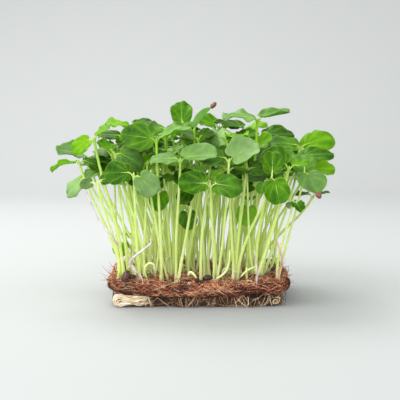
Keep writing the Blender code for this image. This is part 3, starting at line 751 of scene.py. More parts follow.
@dataclass
class Leaf:
    """A seed leaf: which way it points, how its upper face turns, and its size and bend."""

    heading: float
    rise: float
    face: float
    length: float
    droop: float = 0.16
    cup: float = 0.06
    faces_to: float = -90.0

    def frame(self, stem_top, stem_way):
        """Where the blade starts, and its directions: along, across and up."""
        heading = math.radians(self.heading)
        rise = math.radians(self.rise)
        level = math.cos(rise)
        along = Vector((level * math.cos(heading), level * math.sin(heading), math.sin(rise)))
        face = math.radians(self.face)
        to = math.radians(self.faces_to)
        up = Vector((math.sin(face) * math.cos(to), math.sin(face) * math.sin(to), math.cos(face)))
        up = (up - along * up.dot(along)).normalized()
        start = stem_top + (along + 0.6 * stem_way).normalized() * STALK_LENGTH
        return start, along, up.cross(along), up


@dataclass
class Seedling:
    """One plant: where its stem starts and ends, which way it leaves the mat, and its two leaves."""

    base: Vector
    tip: Vector
    lean: Vector
    leaves: tuple

    def stem_point(self, share):
        """A point on the stem's smooth line, from its base at 0 to its top at 1."""
        span = (self.tip - self.base).length
        leaves_mat = self.base + self.lean * span * STEM_LEAVES_MAT
        nears_top = self.tip - self.top_way() * span * STEM_NEARS_TOP
        a, b = self.base.lerp(leaves_mat, share), leaves_mat.lerp(nears_top, share)
        c = nears_top.lerp(self.tip, share)
        return a.lerp(b, share).lerp(b.lerp(c, share), share)

    def top_way(self):
        """The stem's direction at its top: upright, leaning the way the plant leans."""
        return ((self.tip - self.base).normalized() + Vector((0, 0, STEM_UPRIGHT))).normalized()


def blade_point(leaf, frame, share, out):
    """A point midway through the blade, share of its length along and out of its half width across."""
    start, along, across, up = frame
    half = leaf.length * BLADE_WIDTH_TO_LENGTH / 2
    bend = leaf.cup * out * out - leaf.droop * share * abs(share)
    return start + along * (share * leaf.length) + across * (out * half) + up * (bend * leaf.length)


def turned(face, across, up):
    """The face's four corners in order round its middle, starting low on the -across side."""
    middle = face.calc_center_median()

    def angle(vert):
        arm = vert.co - middle
        return math.atan2(arm.dot(up), arm.dot(across))

    return sorted(face.verts, key=angle)


def corners_at(middle, across, up, half):
    """The corners of a small square, in the order that turned gives."""
    signs = ((-1, -1), (1, -1), (1, 1), (-1, 1))
    return [middle + across * (half * a) + up * (half * b) for a, b in signs]


def grow(bm, face, across, up, corners):
    """Extrudes the face to new corners and gives the face at the far end."""
    end = bmesh.ops.extrude_discrete_faces(bm, faces=[face])["faces"][0]
    for vert, corner in zip(turned(end, across, up), corners):
        vert.co = corner
    return end


def room_of(plant, swell):
    """The room that a seedling takes up: a square stem, whose top opens into two stalks and their blades."""
    bm = bmesh.new()
    frames = [leaf.frame(plant.tip, plant.top_way()) for leaf in plant.leaves]
    spread = frames[0][1] - frames[1][1]
    points = [plant.stem_point(share) for share in STEM_STATIONS]

    def ring(i):
        way = (points[min(i + 1, len(points) - 1)] - points[max(i - 1, 0)]).normalized()
        across = (spread - way * spread.dot(way)).normalized()
        width = STEM_HALF_WIDTH + (STEM_TOP_HALF_WIDTH - STEM_HALF_WIDTH) * STEM_STATIONS[i] + swell
        up = way.cross(across)
        return across, up, corners_at(points[i], across, up, width)

    bmesh.ops.create_cube(bm, size=2.0)
    lower, upper = sorted(bm.faces, key=lambda f: f.normal.z)[:: len(bm.faces) - 1]
    for i, end in enumerate((lower, upper)):
        order = turned(end, Vector((1, 0, 0)), Vector((0, 1, 0)))
        for vert, corner in zip(order, ring(i)[2]):
            vert.co = corner
    top = upper
    for i in range(2, len(points)):
        top = grow(bm, top, *ring(i))
    sides = [f for f in bm.faces if f is not top and len(set(f.verts) & set(top.verts)) == 2]
    sides.sort(key=lambda f: (f.calc_center_median() - plant.tip).dot(spread))
    for leaf, frame, side in zip(plant.leaves, frames, (sides[-1], sides[0])):
        start, _, across, up = frame
        end = grow(bm, side, across, up, corners_at(start, across, up, STALK_HALF_WIDTH + swell))
        for share, out in BLADE_STATIONS:
            left, right = (blade_point(leaf, frame, share, sign * out) for sign in (-1, 1))
            edge = (right - left).normalized() * swell
            lift = up * (BLADE_THICKNESS / 2 + swell)
            corners = [left - edge - lift, right + edge - lift, right + edge + lift, left - edge + lift]
            end = grow(bm, end, across, up, corners)
    bmesh.ops.triangulate(bm, faces=bm.faces[:])
    return bm


def hull_form(length, place, cells=(8, 5)):
    """The plain form of a seed hull: a plump bean, dented on one side where it split."""
    bm = bmesh.new()
    bmesh.ops.create_uvsphere(bm, u_segments=cells[0], v_segments=cells[1], radius=1.0)
    for vert in bm.verts:
        x, y, z = vert.co
        bend = 0.22 * (x * x - 0.4)
        width = HULL_WIDTH_TO_LENGTH
        vert.co = Vector((x, (y + bend) * width * (1 - HULL_POINTED * x), z * width * HULL_FLAT)) * (length / 2)
    bmesh.ops.transform(bm, matrix=place, verts=bm.verts[:])
    bmesh.ops.triangulate(bm, faces=bm.faces[:])
    return bm


def caught_hull_place(plant, side, length):
    """Where the hull hangs on at the tip of one leaf of the plant."""
    leaf = plant.leaves[side]
    frame = leaf.frame(plant.tip, plant.top_way())
    end, near = (blade_point(leaf, frame, share, 0) for share in (1, 0.8))
    out = (end - near).normalized()
    middle = end + out * (length / 2 * MM + GAP)
    return Matrix.Translation(middle) @ out.to_track_quat("X", "Z").to_matrix().to_4x4()


def clump_spots(draw):
    """The middles of the clumps: staggered rows across the mat, each spot wandering a little."""
    spots = []
    for row, count in enumerate(ROW_COUNTS):
        for column in range(count):
            x = (column - (count - 1) / 2) * CLUMP_STEP + draw.uniform(-1, 1) * CLUMP_WANDER
            y = (row - (len(ROW_COUNTS) - 1) / 2) * ROW_STEP + draw.uniform(-1, 1) * CLUMP_WANDER
            spots.append(Vector((x, y, 0)))
    return spots


def standing_out(row):
    """The seedling that one row of STANDING_OUT asks for, with its base still to be set."""
    tip, base, *leaves = row
    made = tuple(Leaf(*turns, length * MM, droop=BOLD_DROOP) for *turns, length in leaves)
    return Seedling(Vector((*base, 0)) * MM, Vector(tip) * MM, Vector((0, 0, 1)), made)


def filling_in(spot, draw, roam=CANOPY_ROAM):
    """A seedling for the body of the canopy, which fans out from the mat under a low dome."""
    outer = Vector((spot.x * CANOPY_FAN[0], spot.y * CANOPY_FAN[1], 0))
    tip = outer + Vector((draw.gauss(0, roam), draw.gauss(0, roam), 0))
    reach = (tip.x / CANOPY_HALF[0]) ** 2 + (tip.y / CANOPY_HALF[1]) ** 2
    layers = CANOPY_LAYERS * (1 - CANOPY_THINS * min(reach, 1))
    tip.z = CANOPY_TOP - CANOPY_DOME * reach - layers * draw.random() ** 1.4
    most = CANOPY_WAIST + CANOPY_FLARE * tip.z
    tip.x = max(-most, min(most, tip.x))
    tip.y = max(tip.y, CANOPY_FRONT)
    heading = draw.uniform(0, 360)
    leaves = []
    for turn in (0, 180):
        way = heading + turn + draw.uniform(-14, 14)
        rise, face, length = draw.uniform(-30, 26), draw.uniform(0, 32), draw.uniform(*LEAF_LENGTHS)
        droop, cup = draw.uniform(0.0, 0.26), draw.uniform(-0.06, 0.14)
        leaves.append(Leaf(way, rise, face, length, droop, cup, draw.uniform(0, 360)))
    return Seedling(spot, tip, Vector((0, 0, 1)), tuple(leaves))


def bent(plant, much, draw):
    """The same plant with its stem and leaves bent aside, much from 0 for not at all to 1."""

    def aside(most):
        return draw.uniform(-most, most) * much

    tip = plant.tip + Vector((aside(7), aside(8), aside(6))) * MM
    leaves = []
    for leaf in plant.leaves:
        heading, rise, face = leaf.heading + aside(24), leaf.rise + aside(20), leaf.face + aside(18)
        length = leaf.length * (1 - 0.12 * much * draw.random())
        leaves.append(replace(leaf, heading=heading, rise=rise, face=face, length=length))
    return replace(plant, tip=tip, leaves=tuple(leaves))


def shrunk(plant, scale):
    """The same plant with smaller leaves."""
    leaves = tuple(replace(leaf, length=leaf.length * scale) for leaf in plant.leaves)
    return replace(plant, leaves=leaves)


def set_in_collar(plant, spot, place, draw):
    """The plant with its base in the collar at this spot, as the first, second or third stem there."""
    turn = 2.1 * place + spot.x * 900
    x = spot.x + COLLAR_OFFSET * math.cos(turn)
    y = spot.y + COLLAR_OFFSET * math.sin(turn)
    base = Vector((x, y, mat_top(spot.x, spot.y) + COLLAR_STANDS_OUT - STEM_SUNK))
    way = plant.tip - base
    lean = Vector((way.x, way.y, 0)) / way.length * draw.uniform(-0.25, 0.9)
    lean += Vector((draw.uniform(-0.14, 0.14), draw.uniform(-0.14, 0.14), 1))
    return replace(plant, base=base, lean=lean.normalized())


def stand(shape, points, faces):
    """Adds the shape to the points and faces of all that stands."""
    count = len(points)
    shape.verts.index_update()
    points.extend(vert.co.copy() for vert in shape.verts)
    faces.extend([vert.index + count for vert in face.verts] for face in shape.faces)


def plant_up():
    """Every clump as (spot, its seedlings), and the seedlings that stand out.

    No leaf or stem crosses another: each plant is bent, or sent up elsewhere, until it is clear.
    """
    draw = random.Random(SEED)
    clumps = [(spot, []) for spot in clump_spots(draw)]
    points, faces = [], []
    wishes = []

    def taken(clump):
        return sum(wish[0] is clump for wish in wishes)

    for row in STANDING_OUT:
        plant = standing_out(row)
        free = [clump for clump in clumps if taken(clump) < FRONT_STEMS]
        nearest = min(free, key=lambda clump: (clump[0] - plant.base).length)
        wishes.append((nearest, plant))
    fillers = []
    for number, clump in enumerate(clumps):
        wanted = FRONT_STEMS if number < FRONT_CLUMPS else OTHER_STEMS
        fillers += [(clump, filling_in(clump[0], draw)) for _ in range(wanted - taken(clump))]
    fillers.sort(key=lambda wish: -wish[1].tip.z)
    bold = []
    for order, (clump, wish) in enumerate(wishes + fillers):
        spot, plants = clump
        stands_out = order < len(wishes)
        standing = BVHTree.FromPolygons(points, faces) if faces else None
        for number in range(DRAWS):
            if stands_out or number < DRAWS // 4:
                plant = bent(wish, number / DRAWS * MOST_BENT, draw)
            else:
                crowded = number / DRAWS
                plant = filling_in(spot, draw, CANOPY_ROAM * (1 + crowded))
                plant = shrunk(plant, 1 - MOST_SHRUNK * crowded)
            plant = set_in_collar(plant, spot, len(plants), draw)
            shapes = [room_of(plant, ROOM_BETWEEN)]
            if order in CAUGHT_HULLS:
                side, length = CAUGHT_HULLS[order]
                place = caught_hull_place(plant, side, length)
                shapes.append(hull_form(length * MM + 2 * ROOM_BETWEEN, place))
            crossed = standing and any(BVHTree.FromBMesh(shape).overlap(standing) for shape in shapes)
            if not crossed:
                for shape in shapes:
                    stand(shape, points, faces)
                plants.append(plant)
                if stands_out:
                    bold.append(plant)
            for shape in shapes:
                shape.free()
            if not crossed:
                break
    return clumps, bold


clumps, bold = plant_up()

# Where the single seedlings stand. They come up between the clumps, on thinner stems, and fill the room that
# the others leave in the canopy. Each is clear of all that stands, and two in three are drawn up to the light.
BETWEEN_SPOTS = 420
BETWEEN_DRAWS = 90
BETWEEN_INSET = 5 * MM
BETWEEN_ROAM = 1.8
BETWEEN_LEAVES = (9.5 * MM, 15.5 * MM)
BETWEEN_ROOM = -0.15 * MM
BASES_APART = 1.9 * MM
TIPS_APART = 4.8 * MM
CANOPY_LOWEST = 56 * MM
SINGLES_LOWER = 3 * MM
SINGLES_WAIST = 12 * MM
SINGLES_FLARE = 0.44
SINGLES_FRONT = -28 * MM
SINGLES_BACK = 50 * MM


def plant_between(draw):
    """The single seedlings, each clear of all that stands."""
    points, faces, bases, tips, singles = [], [], [], [], []
    for _, plants in clumps:
        for plant in plants:
            bases.append(plant.base.xy)
            tips.append(plant.tip)
            room = room_of(plant, BETWEEN_ROOM)
            stand(room, points, faces)
            room.free()
    reach_x, reach_y = MAT_WIDTH / 2 - BETWEEN_INSET, MAT_DEPTH / 2 - BETWEEN_INSET
    for _ in range(BETWEEN_SPOTS):
        spot = Vector((draw.uniform(-reach_x, reach_x), -reach_y + 2 * reach_y * draw.random() ** 1.25, 0))
        if min((spot.xy - base).length for base in bases) < BASES_APART:
            continue
        standing = BVHTree.FromPolygons(points, faces)
        for number in range(BETWEEN_DRAWS):
            plant = filling_in(spot, draw, CANOPY_ROAM * BETWEEN_ROAM)
            leaves = []
            for leaf in plant.leaves:
                length = draw.uniform(*BETWEEN_LEAVES) * (1 - MOST_SHRUNK * number / BETWEEN_DRAWS)
                face, faces_to = draw.uniform(0, 70), draw.uniform(-140, -40)
                leaves.append(replace(leaf, length=length, face=face, faces_to=faces_to))
            plant = replace(plant, leaves=tuple(leaves))
            tip = plant.tip
            tip.z = max(tip.z - SINGLES_LOWER, CANOPY_LOWEST)
            if len(singles) % 3:
                dome = CANOPY_TOP - SINGLES_LOWER - CANOPY_DOME * (tip.x / CANOPY_HALF[0]) ** 2
                tip.z = (tip.z + dome * 2) / 3
            most = SINGLES_WAIST + SINGLES_FLARE * tip.z
            tip.x = max(-most, min(most, tip.x))
            tip.y = max(SINGLES_FRONT, min(tip.y, SINGLES_BACK))
            if min((tip - other).length for other in tips) < TIPS_APART:
                continue
            plant = set_in_collar(plant, spot, 0, draw)
            room = room_of(plant, BETWEEN_ROOM)
            crossed = bool(BVHTree.FromBMesh(room).overlap(standing))
            if not crossed:
                stand(room, points, faces)
            room.free()
            if not crossed:
                tips.append(plant.tip)
                singles.append(plant)
                break
        bases.append(spot.xy)
    return singles


singles = plant_between(random.Random(29))

# The seedlings. Each has a juicy pale stem, white where it leaves the mat, that forks into two short stalks.
# Each stalk carries a round, heart-based seed leaf, and between them is the bud that would grow next.
STEM_RADII = (0.92 * MM, 0.70 * MM)
STEM_STEPS = 14
STEM_STEP_POWER = 1.35
STEM_BELOW = 3 * MM
FORK_BELOW = 1.2 * MM
# Near the mat a stem bends aside: over which share of its length, and how far, in clumps and when single.
FOOT_SHARE = 0.17
FOOT_BENDS = (1.3 * MM, 4.0 * MM)
SLIM_CLUMPED = (0.85, 1.08)
SLIM_SINGLE = (0.62, 0.92)
SINGLES_A_PIECE = 14
# A stalk thins as it runs on along the underside of its leaf: its radius at each share of its length.
STALK_RADII = ((0.0, 0.60), (0.2, 0.46), (0.4, 0.38), (0.7, 0.15), (1.0, 0.05))
STALK_SIDES_MORE = 2
LEAF_CELLS = 12
LEAF_THICKNESS = 0.34 * MM
LEAF_MIDDLE = 0.46
LEAF_REACH = 0.55
LOBE_REACH = 0.115
NOTCH_DEPTH = 0.12
VEIN_ANGLES = (0.0, 0.52, 1.02, 1.75)
VEIN_GROOVE = 0.016
LEAF_RIPPLES = (0.02, 0.08)
LEAF_CURLS = (-0.10, 0.18)
LEAF_TWIST = 0.12
LEAF_SLENDER = 0.84
# The leaves that stand out: for some rows of STANDING_OUT, each leaf's tone from deep green at 0 to
# yellow-green at 1, its painted sheen from 0 to 1, and how far its halves fold up along the midrib.
LEAF_FINISHES = {
    0: ((0.34, 0.10, 0.02), (0.40, 0.25, 0.03)),
    1: ((0.50, 0.80, 0.06), (0.55, 0.75, 0.10)),
    2: ((0.55, 0.95, 0.30), (0.25, 0.30, 0.08)),
    3: ((0.38, 0.20, 0.04), (0.60, 0.45, 0.10)),
    4: ((0.36, 0.00, 0.04), (0.44, 0.00, 0.07)),
    5: ((0.42, 0.55, 0.04), (0.50, 0.40, 0.08)),
    6: ((0.75, 1.00, 0.20), (0.35, 0.30, 0.05)),
    7: ((0.50, 0.70, 0.05), (0.40, 0.50, 0.08)),
    8: ((0.72, 0.10, 0.08), (0.50, 0.35, 0.06)),
    9: ((0.25, 0.00, 0.02), (0.45, 0.45, 0.05)),
    10: ((0.42, 0.00, 0.16), (0.62, 0.00, 0.12)),
    11: ((0.24, 0.10, 0.02), (0.45, 0.85, 0.06)),
    12: ((0.30, 0.45, 0.04), (0.60, 0.10, 0.06)),
    14: ((0.84, 0.00, 0.05), (0.78, 0.00, 0.10)),
    15: ((0.35, 0.55, 0.03), (0.20, 0.00, 0.03)),
    16: ((0.85, 0.05, 0.12), (0.18, 0.10, 0.05)),
    17: ((0.60, 0.95, 0.04), (0.60, 0.90, 0.04)),
    18: ((0.16, 0.00, 0.04), (0.14, 0.00, 0.03)),
    21: ((0.20, 0.05, 0.04), (0.35, 0.10, 0.04)),
    28: ((0.70, 0.00, 0.10), (0.10, 0.00, 0.05)),
    31: ((0.70, 0.00, 0.06), (0.60, 0.00, 0.06)),
}
DRAWN_TONES = (0.08, 0.2, 0.36, 0.56, 0.9)
BUD_LENGTH = 1.7 * MM
BUD_WIDTH = 0.5 * MM
BUD_SHAPE = ((0, 1), (0.35, 1.1), (0.7, 0.7), (1, 0.15))
# The stem's colour by its height above the table in millimetres.
STEM_COLOURS = (
    (12, (0.93, 0.90, 0.60)),
    (23, (0.85, 0.93, 0.40)),
    (66, (0.82, 0.95, 0.38)),
    (90, (0.46, 0.74, 0.06)),
)
STEM_PALE = (0.94, 0.98, 0.64)
# Each leaf's points carry its tone, its share of painted sheen, and how far out from the leaf's middle they
# lie.
LEAF_VALUES = ("tone", "painted_sheen", "reach")
STEM_STREAK = (0.52, 0.72, 0.10)
STEM_LIT_THROUGH = 0.52


def leaf_edge(turn, ways):
    """How far the leaf's edge is from its middle in this direction, as a share of its length."""
    back = math.pi - abs(turn)
    reach = LEAF_REACH + 0.012 * math.cos(turn)
    reach += LOBE_REACH * math.exp(-(((back - 0.52) / 0.42) ** 2))
    reach -= NOTCH_DEPTH * math.exp(-((back / 0.20) ** 2))
    wave, phase, nick, at = ways
    reach *= 1 + wave * math.sin(3 * turn + phase) + wave * 0.7 * math.sin(7 * turn + 2 * phase)
    reach -= nick * math.exp(-(((turn - at) / 0.14) ** 2))
    return reach


def drawn_finish(draw):
    """The tone, painted sheen and fold of a leaf that doesn't stand out."""
    tone = draw.choice(DRAWN_TONES) + draw.uniform(-0.05, 0.1)
    return tone, draw.random() ** 2.5, draw.uniform(-0.02, 0.18)


# A leaf that holds a hull keeps to its plain shape, and its tip is pinched and runs on into the hull.
TIP_IN_HULL = 0.45
TIP_PINCH = 0.55
hull_lengths = {id(bold[row].leaves[side]): length * MM for row, (side, length) in CAUGHT_HULLS.items()}


def add_leaf(bm, leaf, frame, layers, finish, draw):
    """Adds a seed leaf: a round grid drawn out to its edge, bent and grooved, and given its thickness."""
    start, along, across, up = frame
    uv, tone_layer, painted_sheen_layer, reach_layer = layers
    # The leaf's finish: its tone, its share of painted sheen, and its fold.
    tone, painted_sheen, fold = finish
    ways = (
        draw.uniform(0.008, 0.032),
        draw.uniform(0, 6.28),
        draw.choice((0, 0, 0.04, 0.07)),
        draw.uniform(-1.9, 1.9),
    )
    ripple, ripple_at = draw.uniform(*LEAF_RIPPLES), draw.uniform(0, 6.28)
    curl = draw.uniform(*LEAF_CURLS)
    twist = draw.uniform(-LEAF_TWIST, LEAF_TWIST)
    slender = draw.uniform(LEAF_SLENDER, 1.0)
    held = hull_lengths.get(id(leaf), 0) / leaf.length * TIP_IN_HULL
    if held:
        ripple, curl, twist = 0, 0, 0
    half = BLADE_WIDTH_TO_LENGTH / 2
    grid = bmesh.ops.create_grid(bm, x_segments=LEAF_CELLS, y_segments=LEAF_CELLS, size=1.0)["verts"]
    own = set(grid)
    spots = {}
    for vert in grid:
        x, y = vert.co.x, vert.co.y
        wide, long = x * math.sqrt(1 - y * y / 2), y * math.sqrt(1 - x * x / 2)
        reach, turn = math.hypot(wide, long), math.atan2(wide, long)
        far = leaf_edge(turn, ways) * reach
        share, out = LEAF_MIDDLE + far * math.cos(turn), far * math.sin(turn) / half * slender
        if held:
            at_tip = max(0.0, math.cos(turn)) ** 8 * reach**3
            share, out = share + held * at_tip, out * (1 - TIP_PINCH * at_tip)
        spots[vert] = (share, out)
        bend = leaf.cup * out * out - leaf.droop * share * abs(share)
        bend += fold * (math.sqrt(out * out + 0.01) - (0.1 if held else 0.5))
        waves = math.sin(4 * turn + ripple_at) + 0.4 * math.sin(9 * turn + 2 * ripple_at)
        bend += ripple * waves * reach**3
        bend -= curl * reach**4
        bend += twist * out * share
        angle, run = math.atan2(abs(out) * half, share + 0.02), math.hypot(out * half, share)
        for vein in VEIN_ANGLES:
            bend -= VEIN_GROOVE * math.exp(-((run * (angle - vein) / 0.05) ** 2)) * (1 - reach**4)
        vert.co = start + along * (share * leaf.length) + across * (out * half * leaf.length)
        vert.co += up * (bend * leaf.length - LEAF_THICKNESS / 2)
        vert[tone_layer] = tone
        vert[painted_sheen_layer] = painted_sheen
        vert[reach_layer] = reach
    sheet = [face for face in bm.faces if face.verts[0] in own]
    for face in sheet:
        for loop in face.loops:
            share, out = spots[loop.vert]
            loop[uv].uv = (out / 2 + 0.5, share)
    raised = bmesh.ops.extrude_face_region(bm, geom=sheet)["geom"]
    tops = [item for item in raised if isinstance(item, bmesh.types.BMVert)]
    for vert in tops:
        vert.co += up * LEAF_THICKNESS * (1 - 0.5 * vert[reach_layer] ** 6)
    skin = {face for vert in (*grid, *tops) for face in vert.link_faces}
    bmesh.ops.recalc_face_normals(bm, faces=list(skin))
    for face in skin:
        face.material_index = 1 if face.normal.dot(up) > 0 else 2
        face.smooth = True


def stalk_radius(at):
    """The stalk's radius at this share of its length."""
    for (low, thick), (high, thin) in zip(STALK_RADII, STALK_RADII[1:]):
        if at <= high:
            share = (at - low) / (high - low)
            return thick * MM * (1 - share) + thin * MM * share


def stem_courses(plant, slim, foot):
    """The stem and the two stalks that it forks into, as smooth lines with their radii."""
    thick, thin = (radius * slim for radius in STEM_RADII)
    shares = [(i / STEM_STEPS) ** STEM_STEP_POWER for i in range(STEM_STEPS + 1)]
    line = [plant.stem_point(share) + foot * max(0.0, 1 - share / FOOT_SHARE) ** 2 for share in shares]
    line.insert(0, line[0] - Vector((0, 0, STEM_BELOW)))
    radii = [thick + (thin - thick) * min(1, share * 1.6) for share in shares]
    radii = [thick * 1.12, thick * 1.08, *radii[1:]]
    radii[-1] = thin * 1.02
    courses = [(line, radii, 0)]
    for leaf in plant.leaves:
        frame = leaf.frame(plant.tip, plant.top_way())
        start, along, _, up = frame
        fork = plant.tip - plant.top_way() * FORK_BELOW
        points = [fork, plant.tip.lerp(start, 0.42) - up * 0.1 * MM, start - along * 0.1 * MM]
        points += [blade_point(leaf, frame, share, 0) - up * 0.26 * MM for share in (0.08, 0.30, 0.55)]
        points = smoothed(points, 2)
        course_radii = [stalk_radius(i / (len(points) - 1)) * slim for i in range(len(points))]
        courses.append((points, course_radii, 0))
    bud = plant.tip + plant.top_way() * (BUD_LENGTH + 0.4 * MM)
    points = [plant.tip.lerp(bud, share) for share, _ in BUD_SHAPE]
    courses.append((points, [BUD_WIDTH * wide for _, wide in BUD_SHAPE], 0))
    return courses


def calculated(tree, operation, *values):
    """The result of one step of arithmetic on these values."""
    return node(tree, "ShaderNodeMath", dict(enumerate(values)), operation=operation).outputs[0]


def toned(tree, level, marks):
    """The colour at this level, out of marks that are each a level and a colour."""
    ramp = node(tree, "ShaderNodeValToRGB", {"Fac": level})
    stops = ramp.color_ramp.elements
    while len(stops) < len(marks):
        stops.new(0.5)
    for stop, (at, colour) in zip(stops, marks):
        stop.position = at
        stop.color = (*colour, 1)
    return ramp.outputs[0]


def lit_through(tree, shader, colour, share):
    """Lets a share of the light through the finish in this colour, and joins both to the material."""
    light = node(tree, "ShaderNodeBsdfTranslucent", {"Color": colour})
    both = node(tree, "ShaderNodeMixShader", {0: share, 1: shader.outputs[0], 2: light.outputs[0]})
    tree.links.new(both.outputs[0], tree.nodes["Material Output"].inputs["Surface"])


def stem_look():
    """A juicy stem: cream where it leaves the mat and greener towards the leaves, and it lets light through."""
    look, tree, shader = new_look("seedling_stem")
    maths = partial(calculated, tree)
    place = node(tree, "ShaderNodeTexCoord").outputs["Object"]

    def drawn_out(flat, scale, detail):
        along = node(tree, "ShaderNodeMapping", {"Vector": place, "Scale": (1.0, 1.0, flat)})
        return mottled(tree, along.outputs[0], scale, detail)

    height = node(tree, "ShaderNodeSeparateXYZ", {"Vector": place}).outputs["Z"]
    wobble = maths("SUBTRACT", mottled(tree, place, 90.0, 2.0), 0.5)
    top = STEM_COLOURS[-1][0] * MM
    level = maths("DIVIDE", maths("MULTIPLY_ADD", wobble, 0.05, height), top)
    green = toned(tree, level, [(z * MM / top, colour) for z, colour in STEM_COLOURS])
    pale = ranged(tree, drawn_out(0.12, 150.0, 1.0), 0.42, 0.68, last=0.6)
    paler = maths("MULTIPLY", pale, ranged(tree, level, 0.55, 1.0, 1.0, 0.0))
    streaks = drawn_out(0.06, 1400.0, 2.0)
    line = ranged(tree, streaks, 0.45, 0.72, last=0.3)
    colour = mixed(tree, line, mixed(tree, paler, green, STEM_PALE), STEM_STREAK)
    finished(tree, shader, colour, 0.42, streaks, 0.3, 0.06 * MM)
    lit_through(tree, shader, colour, STEM_LIT_THROUGH)
    return look


def leaf_look(name, shades, glows, vein, sheen_colour, through, roughness):
    """A leaf's face: its own green, paler veins that spread from the stalk, a painted sheen of pale grey-green,
    and light coming through.
    """
    look, tree, shader = new_look(name)
    place = node(tree, "ShaderNodeTexCoord").outputs["Object"]
    flat = node(tree, "ShaderNodeUVMap", uv_map="leaf").outputs[0]
    spot = node(tree, "ShaderNodeSeparateXYZ", {"Vector": flat})
    own = [node(tree, "ShaderNodeAttribute", attribute_name=kind).outputs["Fac"] for kind in LEAF_VALUES]
    tone, painted_sheen, reach = own
    maths = partial(calculated, tree)

    def by_tone(level, colours):
        return toned(tree, level, [(i / (len(colours) - 1), colour) for i, colour in enumerate(colours)])

    aside = maths("ABSOLUTE", maths("SUBTRACT", spot.outputs["X"], 0.5))
    wide = maths("MULTIPLY", aside, BLADE_WIDTH_TO_LENGTH)
    long = maths("ADD", spot.outputs["Y"], 0.02)
    angle = maths("ARCTAN2", wide, long)
    run = maths("SQRT", maths("ADD", maths("MULTIPLY", wide, wide), maths("MULTIPLY", long, long)))
    nearest = None
    for at in VEIN_ANGLES:
        away = maths("MULTIPLY", maths("ABSOLUTE", maths("SUBTRACT", angle, at)), run)
        nearest = away if nearest is None else maths("MINIMUM", nearest, away)
    width = maths("MULTIPLY_ADD", run, -0.020, 0.036)
    main = ranged(tree, nearest, 0.0, width, 1.0, 0.0, "SMOOTHSTEP")
    sockets = {"Vector": flat, "Scale": 8.0, "Randomness": 0.9}
    cells = node(tree, "ShaderNodeTexVoronoi", sockets, feature="DISTANCE_TO_EDGE").outputs[0]
    veins = maths("MAXIMUM", maths("MULTIPLY", main, 0.9), ranged(tree, cells, 0.0, 0.09, 0.38, 0.0))
    patches = mottled(tree, place, 170.0, 3.0)
    uneven = maths("MULTIPLY", maths("SUBTRACT", patches, 0.5), 0.75)
    between = maths("MULTIPLY", maths("SUBTRACT", 0.10, nearest), 1.2)
    level = maths("ADD", maths("ADD", tone, uneven), between)
    level = node(tree, "ShaderNodeClamp", {"Value": level}).outputs[0]
    green = by_tone(level, shades)
    # Painted sheen: the colour is mixed towards a pale grey-green, the more the higher the leaf's sheen value.
    sheen_share = maths("MULTIPLY", maths("POWER", painted_sheen, 2.0), maths("ADD", 0.80, uneven))
    sheened = mixed(tree, node(tree, "ShaderNodeClamp", {"Value": sheen_share}).outputs[0], green, sheen_colour)
    veined = maths("MULTIPLY", veins, 0.4)
    rim = ranged(tree, reach, 0.93, 1.0, last=0.45)
    colour = mixed(tree, rim, mixed(tree, veined, sheened, vein), vein)
    lift = maths("SUBTRACT", maths("MULTIPLY", patches, 0.4), veins)
    finished(tree, shader, colour, roughness, lift, 0.6, 0.14 * MM)
    shader.inputs["Specular IOR Level"].default_value = 0.10
    lit_through(tree, shader, mixed(tree, veined, by_tone(level, glows), vein), through)
    return look


LEAF_SHADES = ((0.012, 0.060, 0.002), (0.038, 0.145, 0.003), (0.098, 0.280, 0.003), (0.225, 0.450, 0.004))
LEAF_GLOWS = ((0.060, 0.225, 0.002), (0.160, 0.420, 0.003), (0.310, 0.640, 0.004), (0.450, 0.830, 0.006))
LEAF_BACKS = ((0.040, 0.130, 0.010), (0.090, 0.240, 0.018), (0.175, 0.390, 0.024), (0.300, 0.550, 0.030))
# Each face: its greens, its colours lit through, its vein colour, the pale grey-green of its painted sheen, how
# much light it lets through, and its roughness.
seedling_looks = [
    stem_look(),
    leaf_look("leaf_upper", LEAF_SHADES, LEAF_GLOWS, (0.34, 0.58, 0.05), (0.38, 0.54, 0.26), 0.40, 0.45),
    leaf_look("leaf_lower", LEAF_BACKS, LEAF_GLOWS, (0.40, 0.62, 0.08), (0.38, 0.56, 0.28), 0.38, 0.60),
]


leaf_draw = random.Random(67)
rows = {id(plant): row for row, plant in enumerate(bold)}


def finish_of(plant):
    """The finish of the plant's two leaves: as listed if it stands out, or else drawn."""
    listed = LEAF_FINISHES.get(rows.get(id(plant)))
    return listed or [drawn_finish(leaf_draw) for _ in plant.leaves]


def sprouts(name, plants, slims, bend):
    """One piece of seedlings: all their stems, stalks and buds, and their leaves."""
    courses = []
    for plant in plants:
        aside = leaf_draw.uniform(0, 2 * math.pi)
        foot = Vector((math.cos(aside), math.sin(aside), 0)) * bend * leaf_draw.uniform(0.2, 1)
        courses += stem_courses(plant, leaf_draw.uniform(*slims), foot)
    bm = strands(name, courses, [], STALK_SIDES_MORE)
    for face in bm.faces:
        face.smooth = True
    layers = [bm.loops.layers.uv.new("leaf")]
    layers += [bm.verts.layers.float.new(kind) for kind in LEAF_VALUES]
    for plant in plants:
        for leaf, finish in zip(plant.leaves, finish_of(plant)):
            add_leaf(bm, leaf, leaf.frame(plant.tip, plant.top_way()), layers, finish, leaf_draw)
    piece = new_object(name, bm, seedling_looks, smooth=False)
    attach(piece, "root")
    return piece


for number, (_, plants) in enumerate(clumps):
    piece = sprouts(f"sprouts_{number + 1:02d}", plants, SLIM_CLUMPED, FOOT_BENDS[0])
    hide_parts(f"seedlings_{number + 1:02d}")
for number in range(0, len(singles), SINGLES_A_PIECE):
    group = singles[number : number + SINGLES_A_PIECE]
    sprouts(f"single_sprouts_{number // SINGLES_A_PIECE + 1}", group, SLIM_SINGLE, FOOT_BENDS[1])

